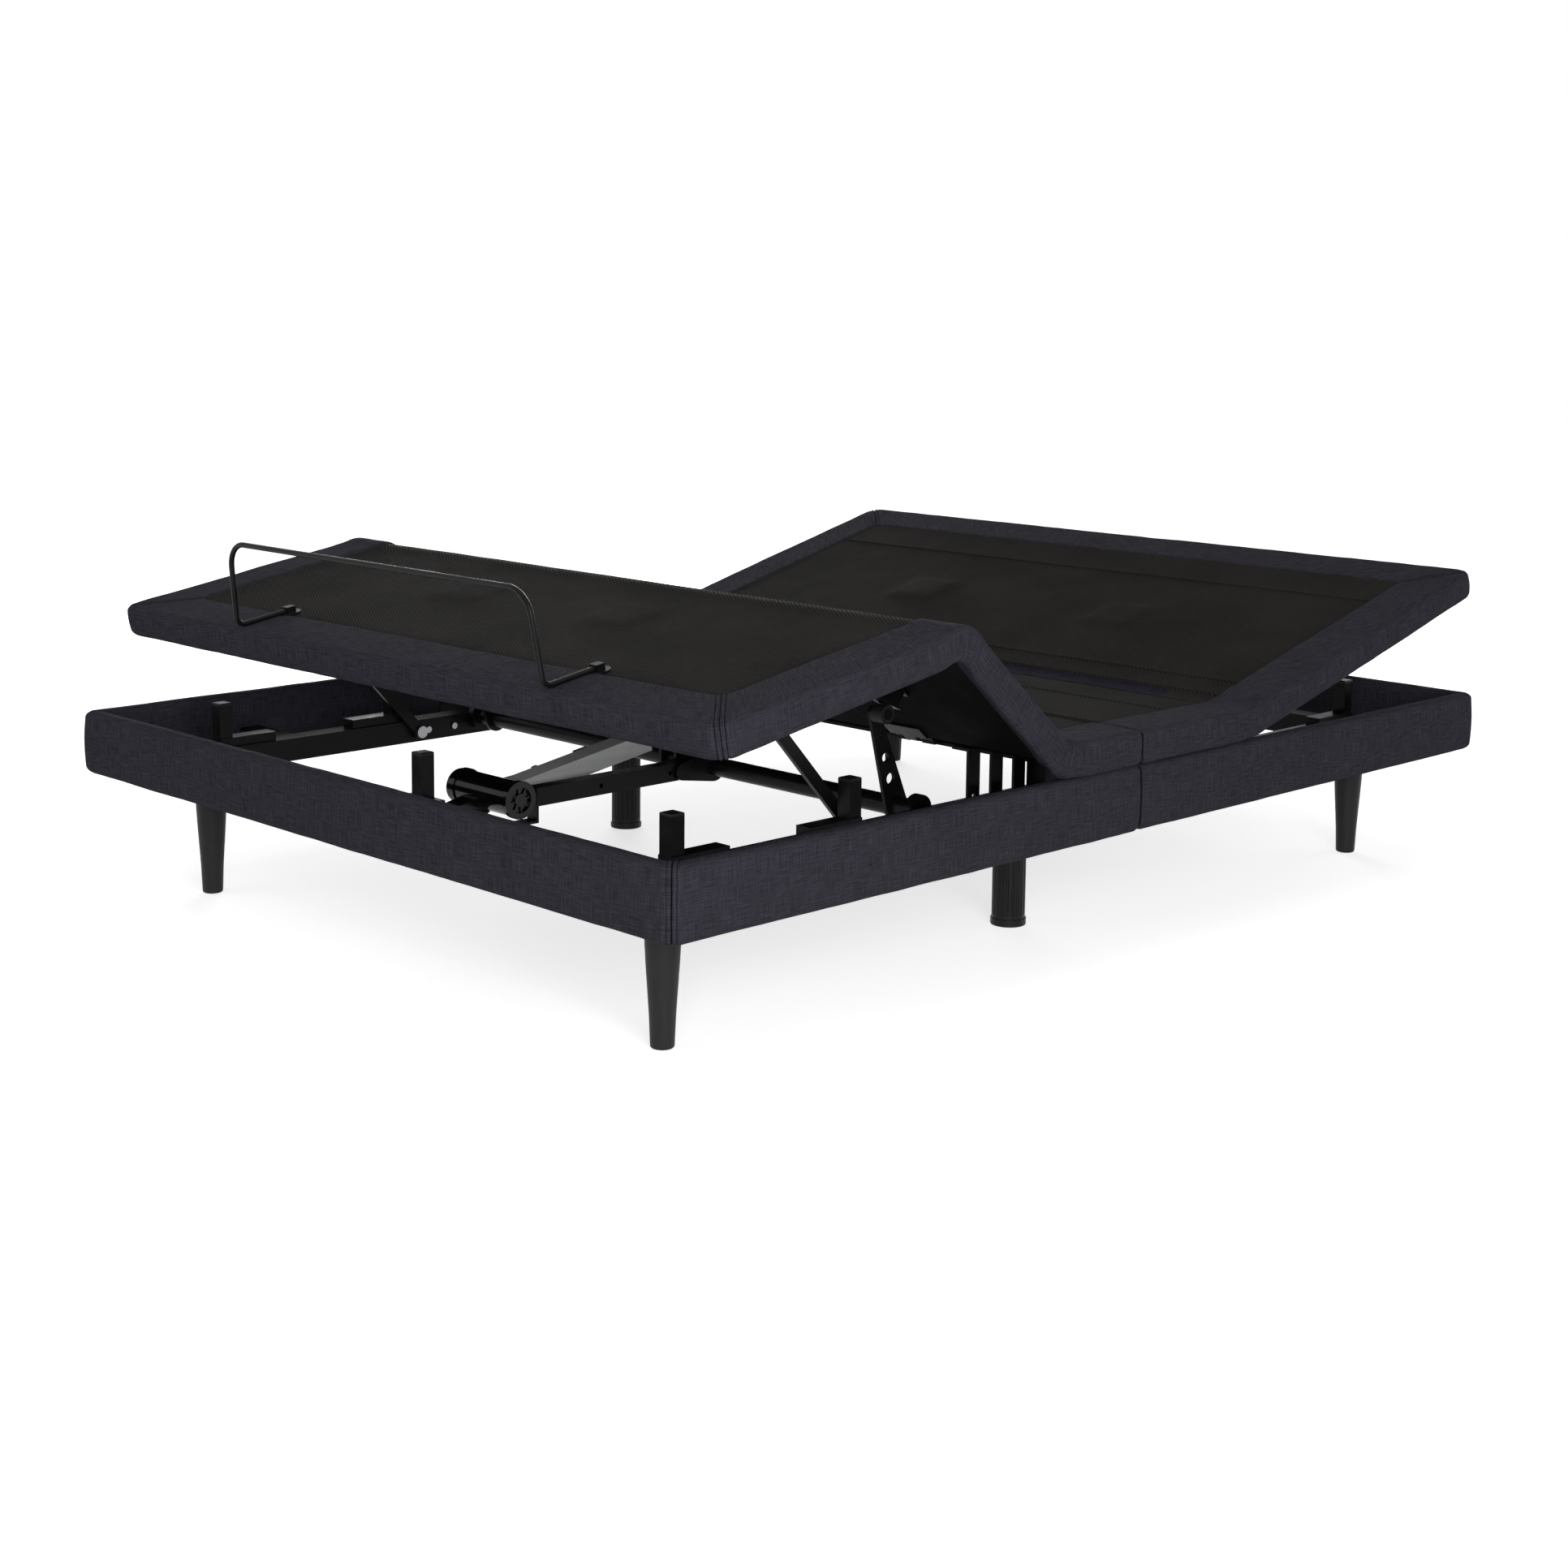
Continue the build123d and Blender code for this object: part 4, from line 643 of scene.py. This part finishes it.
# The threads run on from the thigh's cover round the foot's and back, so the cloth coordinates do too
dress(thigh, 4)
thigh.gathers(LEG_Y, pitch=0.016, width=0.022, amount=0.0036,
              none=DECK_TOP - 0.034, full=DECK_TOP - 0.008, seed=2.0)
thigh.settle(LEG_Y + SETTLE_RUN, LEG_Y)
flat, uv = thigh.grid()
shape, a, b = bent_thigh(flat)
half = len(thigh.seg) // 2
seam_run = thigh.s[half - 1]
far_side = seam_run + foot.s[-1] - thigh.s[half]
sides = [(shape[:half], uv[:half]), (shape[half:], uv[half:] + (far_side, 0))]
thigh_cover = build("deck_cloth_thigh", sides, [FABRIC], CLOTH_T)
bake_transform(thigh_cover)
padded_cover(["thigh_pad", "seat_pads"])

dress(foot, 4)
foot.gathers(KNEE_Y, pitch=0.014, width=0.021, amount=0.0024,
             none=DECK_Z + 0.044, full=DECK_Z + 0.016, seed=3.0)
foot.seams(DECK_SEAM)
flat, uv = foot.grid()
uv = uv + (seam_run, 0)
shape, a, b = bent_foot(flat)
foot_cover = build("deck_cloth_foot", [(shape, uv)], [FABRIC, SEAM_SHADE], CLOTH_T, rows_marked=foot.shaded_rows())
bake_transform(foot_cover)
padded_cover(["foot_pad"])
foot_runs = seam_runs(foot, shape, **EDGE_ROWS)

stitches("rail_stitching", rail_runs, "base")
stitches("head_corner_stitching", head_runs, "head_panel")
stitches("foot_corner_stitching", foot_runs, "foot_panel")


# Non-slip mesh on the deck, just under the inner edge of the border
SHEET_LAP = 0.002
SHEET_X = HALF_W - BORDER + SHEET_LAP
SHEET_END = DECK_END - BORDER + SHEET_LAP
SHEET_Z = DECK_TOP - 0.0014
SHEET_STEP = 0.012
LINE_STEP = 0.0016  # grid lines near a seam
CLOSEST = 0.0009
STRIP_LOW, STRIP_HIGH, STRIP_X = HEAD_Y - 0.022, HEAD_Y + 0.032, 0.57
SPLIT_HEM = 0.008
SEAT_SEAM_Y = 0.172
HEAD_SEAM_Y = HEAD_Y + 0.088
TOP_SEAM_Y = DECK_END - 0.205
HEAD_UNITS = [(x, HEAD_Y + 0.307, 0.004) for x in (-0.25, 0.25)]
FOOT_UNITS = [(x, KNEE_Y - 0.161, 0.0016) for x in (-0.19, 0.19)]
UNIT_HALF = 0.052


def levels(low, high, marks=()):
    """Grid lines from low to high, closer together near marks."""
    lines = list(np.linspace(low, high, max(2, int((high - low) / SHEET_STEP))))
    for mark in marks:
        near = [mark + k * LINE_STEP for k in range(-5, 6)]
        lines += [v for v in near if low < v < high]
    lines = sorted(set(round(v, 6) for v in lines))
    kept = [lines[0]]
    for v in lines[1:]:
        if v - kept[-1] > CLOSEST:
            kept.append(v)
    return np.array(kept)


def sheet_grid(low, high, seams=(), bumps=(), corner=0, x_marks=()):
    """Flat mesh between two levels of Y, and its cloth coordinates.

    Seams are grooves and bumps are raised squares (x, y, rise). Corner rounds the corners of an end: 1 the
    high end, -1 the low end.
    """
    gx, gy = np.meshgrid(levels(-SHEET_X, SHEET_X, x_marks), levels(low, high, seams))
    z = np.full(gx.shape, SHEET_Z)
    for seam in seams:
        gap = gy - seam
        z += -0.0038 * bell(gap, 0.0026) + 0.0009 * bell(np.abs(gap) - 0.005, 0.003)
    for x, y, rise in bumps:
        away = np.maximum(np.abs(gx - x), np.abs(gy - y)) - UNIT_HALF
        z += rise / (1 + np.exp(away / 0.0045))
    for i in range(gx.shape[0]):
        for j in range(gx.shape[1]):
            z[i, j] += 0.0007 * uneven((gx[i, j], gy[i, j], 0), 6.0, 5)
    rim_depth, rim_run = 0.0012, 0.004
    z -= rim_depth * np.exp(-(SHEET_X - np.abs(gx)) / rim_run)
    if corner:
        end = high if corner > 0 else low
        past = np.clip((gy - end) * corner + DECK_CORNER, 0, DECK_CORNER)
        give = DECK_CORNER - np.sqrt(np.maximum(DECK_CORNER ** 2 - past ** 2, 0))
        gx = gx * (SHEET_X - give) / SHEET_X
        z -= rim_depth * np.exp(-np.abs(gy - end) / rim_run)
    return np.stack([gx, gy, z], axis=-1), np.stack([gx, gy], axis=-1)


def seam_zone(seams):
    """Marks the sewn strip over the head hinge as material 1 and the lines of the seams as material 2, the
    darker cloth that paints shade into their grooves.
    """
    def mark(a, b):
        x, y = abs(a[0] + b[0]) / 2, (a[1] + b[1]) / 2
        inside = STRIP_LOW < y < STRIP_HIGH
        if any(abs(y - seam) < LINE_STEP for seam in seams) and not (x > STRIP_X and inside):
            return 2
        return 1 if inside and x < STRIP_X else 0
    return mark


def lay(nodes):
    """Hides the solids of the mesh, so the mesh piece stretched on a cover shows in their place."""
    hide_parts(*nodes)


low, high = SPLIT_Y + HALF_GAP, SHEET_END
seams = (SPLIT_Y + SPLIT_HEM, SEAT_SEAM_Y, STRIP_LOW, STRIP_HIGH, HEAD_SEAM_Y, TOP_SEAM_Y)
points, uv = sheet_grid(low, high, seams, HEAD_UNITS, 1, (-STRIP_X, STRIP_X))
shape, a, b = bent_head(points)
head_sheet = build("deck_mesh_head", [(shape, uv)], [MESH, TRIM, SEAM_SHADE], MESH_T, seam_zone(seams))
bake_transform(head_sheet)
lay(["head_mesh", "seat_mesh"])

low, high = THIGH_SEAM_Y, SPLIT_Y - HALF_GAP
seams = (SPLIT_Y - SPLIT_HEM, LEG_Y)
points, uv = sheet_grid(low, high, seams)
shape, a, b = bent_thigh(points)
thigh_sheet = build("deck_mesh_thigh", [(shape, uv)], [MESH, TRIM, SEAM_SHADE], MESH_T, seam_zone(seams))
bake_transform(thigh_sheet)
lay(["thigh_mesh"])

low, high = -SHEET_END, THIGH_SEAM_Y
points, uv = sheet_grid(low, high, bumps=FOOT_UNITS, corner=-1)
shape, a, b = bent_foot(points)
foot_sheet = build("deck_mesh_foot", [(shape, uv)], [MESH], MESH_T)
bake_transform(foot_sheet)
lay(["foot_mesh"])


# Camera, floor and light
WHITE = (1, 1, 1, 1)
FLOOR_HALF = 14
AMBIENT = 0.25


def camera():
    """The photograph's camera, as fitted to the part."""
    yaw, pitch, roll = (math.radians(v) for v in (45.208, 7.52, 0.629))
    forward = Vector((-math.sin(yaw) * math.cos(pitch), math.cos(yaw) * math.cos(pitch), -math.sin(pitch)))
    right = Vector((math.cos(yaw), math.sin(yaw), 0))
    up = right.cross(forward)
    side = math.cos(roll) * right + math.sin(roll) * up
    top = -math.sin(roll) * right + math.cos(roll) * up
    data = bpy.data.cameras.new("camera")
    data.lens, data.sensor_width, data.shift_y = 55.766, 36, -0.12
    place = Matrix((side, top, -forward)).transposed().to_4x4()
    place.translation = (3.04082, -3.078254, 1.076117)
    made = placed("camera", data)
    made.matrix_world = place
    bpy.context.scene.camera = made


def seen_directly(tree):
    """Light Path's camera, glossy and transmission rays, added up."""
    path = tree.nodes.new("ShaderNodeLightPath")
    total = path.outputs["Is Camera Ray"]
    for name in ("Is Glossy Ray", "Is Transmission Ray"):
        added = tree.nodes.new("ShaderNodeMath")
        added.operation, added.use_clamp = "ADD", True
        tree.links.new(total, added.inputs[0])
        tree.links.new(path.outputs[name], added.inputs[1])
        total = added.outputs[0]
    return total


def surroundings():
    """A world that looks white and lights the part softly."""
    world = bpy.data.worlds.new("studio")
    bpy.context.scene.world = world
    world.use_nodes = True
    tree = world.node_tree
    ambient = tree.nodes["Background"]
    white = tree.nodes.new("ShaderNodeBackground")
    for background, strength in ((ambient, AMBIENT), (white, 1.0)):
        background.inputs[0].default_value = WHITE
        background.inputs[1].default_value = strength
    mixed = tree.nodes.new("ShaderNodeMixShader")
    tree.links.new(seen_directly(tree), mixed.inputs[0])
    tree.links.new(ambient.outputs[0], mixed.inputs[1])
    tree.links.new(white.outputs[0], mixed.inputs[2])
    tree.links.new(mixed.outputs[0], tree.nodes["World Output"].inputs[0])


def floor():
    """White paper that keeps the part's shadow; its glow grows outwards and meets the white world."""
    mesh = bpy.data.meshes.new("floor")
    corners = ((-1, -1), (1, -1), (1, 1), (-1, 1))
    mesh.from_pydata([(x * FLOOR_HALF, y * FLOOR_HALF, 0) for x, y in corners], [], [(0, 1, 2, 3)])
    s = Shader("floor_paper", roughness=0.9, specular_ior_level=0.1, emission_color=WHITE)
    grain = s.noise(s.coords("Object"), 60.0, 3.0)
    s.set("Base Color", s.mix(grain, (0.80, 0.80, 0.80), (0.83, 0.83, 0.83)))
    away = s.node("VectorMath", {0: s.coords("Object")}, operation="LENGTH").outputs["Value"]
    glow = s.math("MULTIPLY", seen_directly(s.tree), s.spread(away, 1.3, 2.4, 0.66, 1.0))
    s.set("Emission Strength", glow)
    mesh.materials.append(s.material)
    placed("floor", mesh)


def lamp(name, place, aim, size, power):
    """A rectangular softbox."""
    data = bpy.data.lights.new(name, "AREA")
    data.shape, data.size, data.size_y = "RECTANGLE", *size
    data.energy = power
    made = placed(name, data)
    made.location = place
    made.rotation_mode = "QUATERNION"
    made.rotation_quaternion = (Vector(aim) - Vector(place)).to_track_quat("-Z", "Y")


camera()
surroundings()
floor()
lamp("key_softbox", (3.4, -2.6, 1.1), (0, -0.2, 0.3), (2.4, 1.6), 118)
lamp("fill_softbox", (-2.0, -4.0, 1.0), (0, -0.2, 0.3), (2.4, 1.4), 20)
lamp("back_softbox", (-3.4, 2.6, 0.75), (0, 0.2, 0.25), (2.4, 1.0), 90)
lamp("rim_softbox", (1.8, 4.2, 0.75), (0, 0.2, 0.25), (2.4, 1.0), 24)
lamp("top_softbox", (0, -0.4, 3.4), (0, 0, 0.3), (3.0, 3.0), 18)
bpy.context.scene.view_settings.view_transform = "Standard"
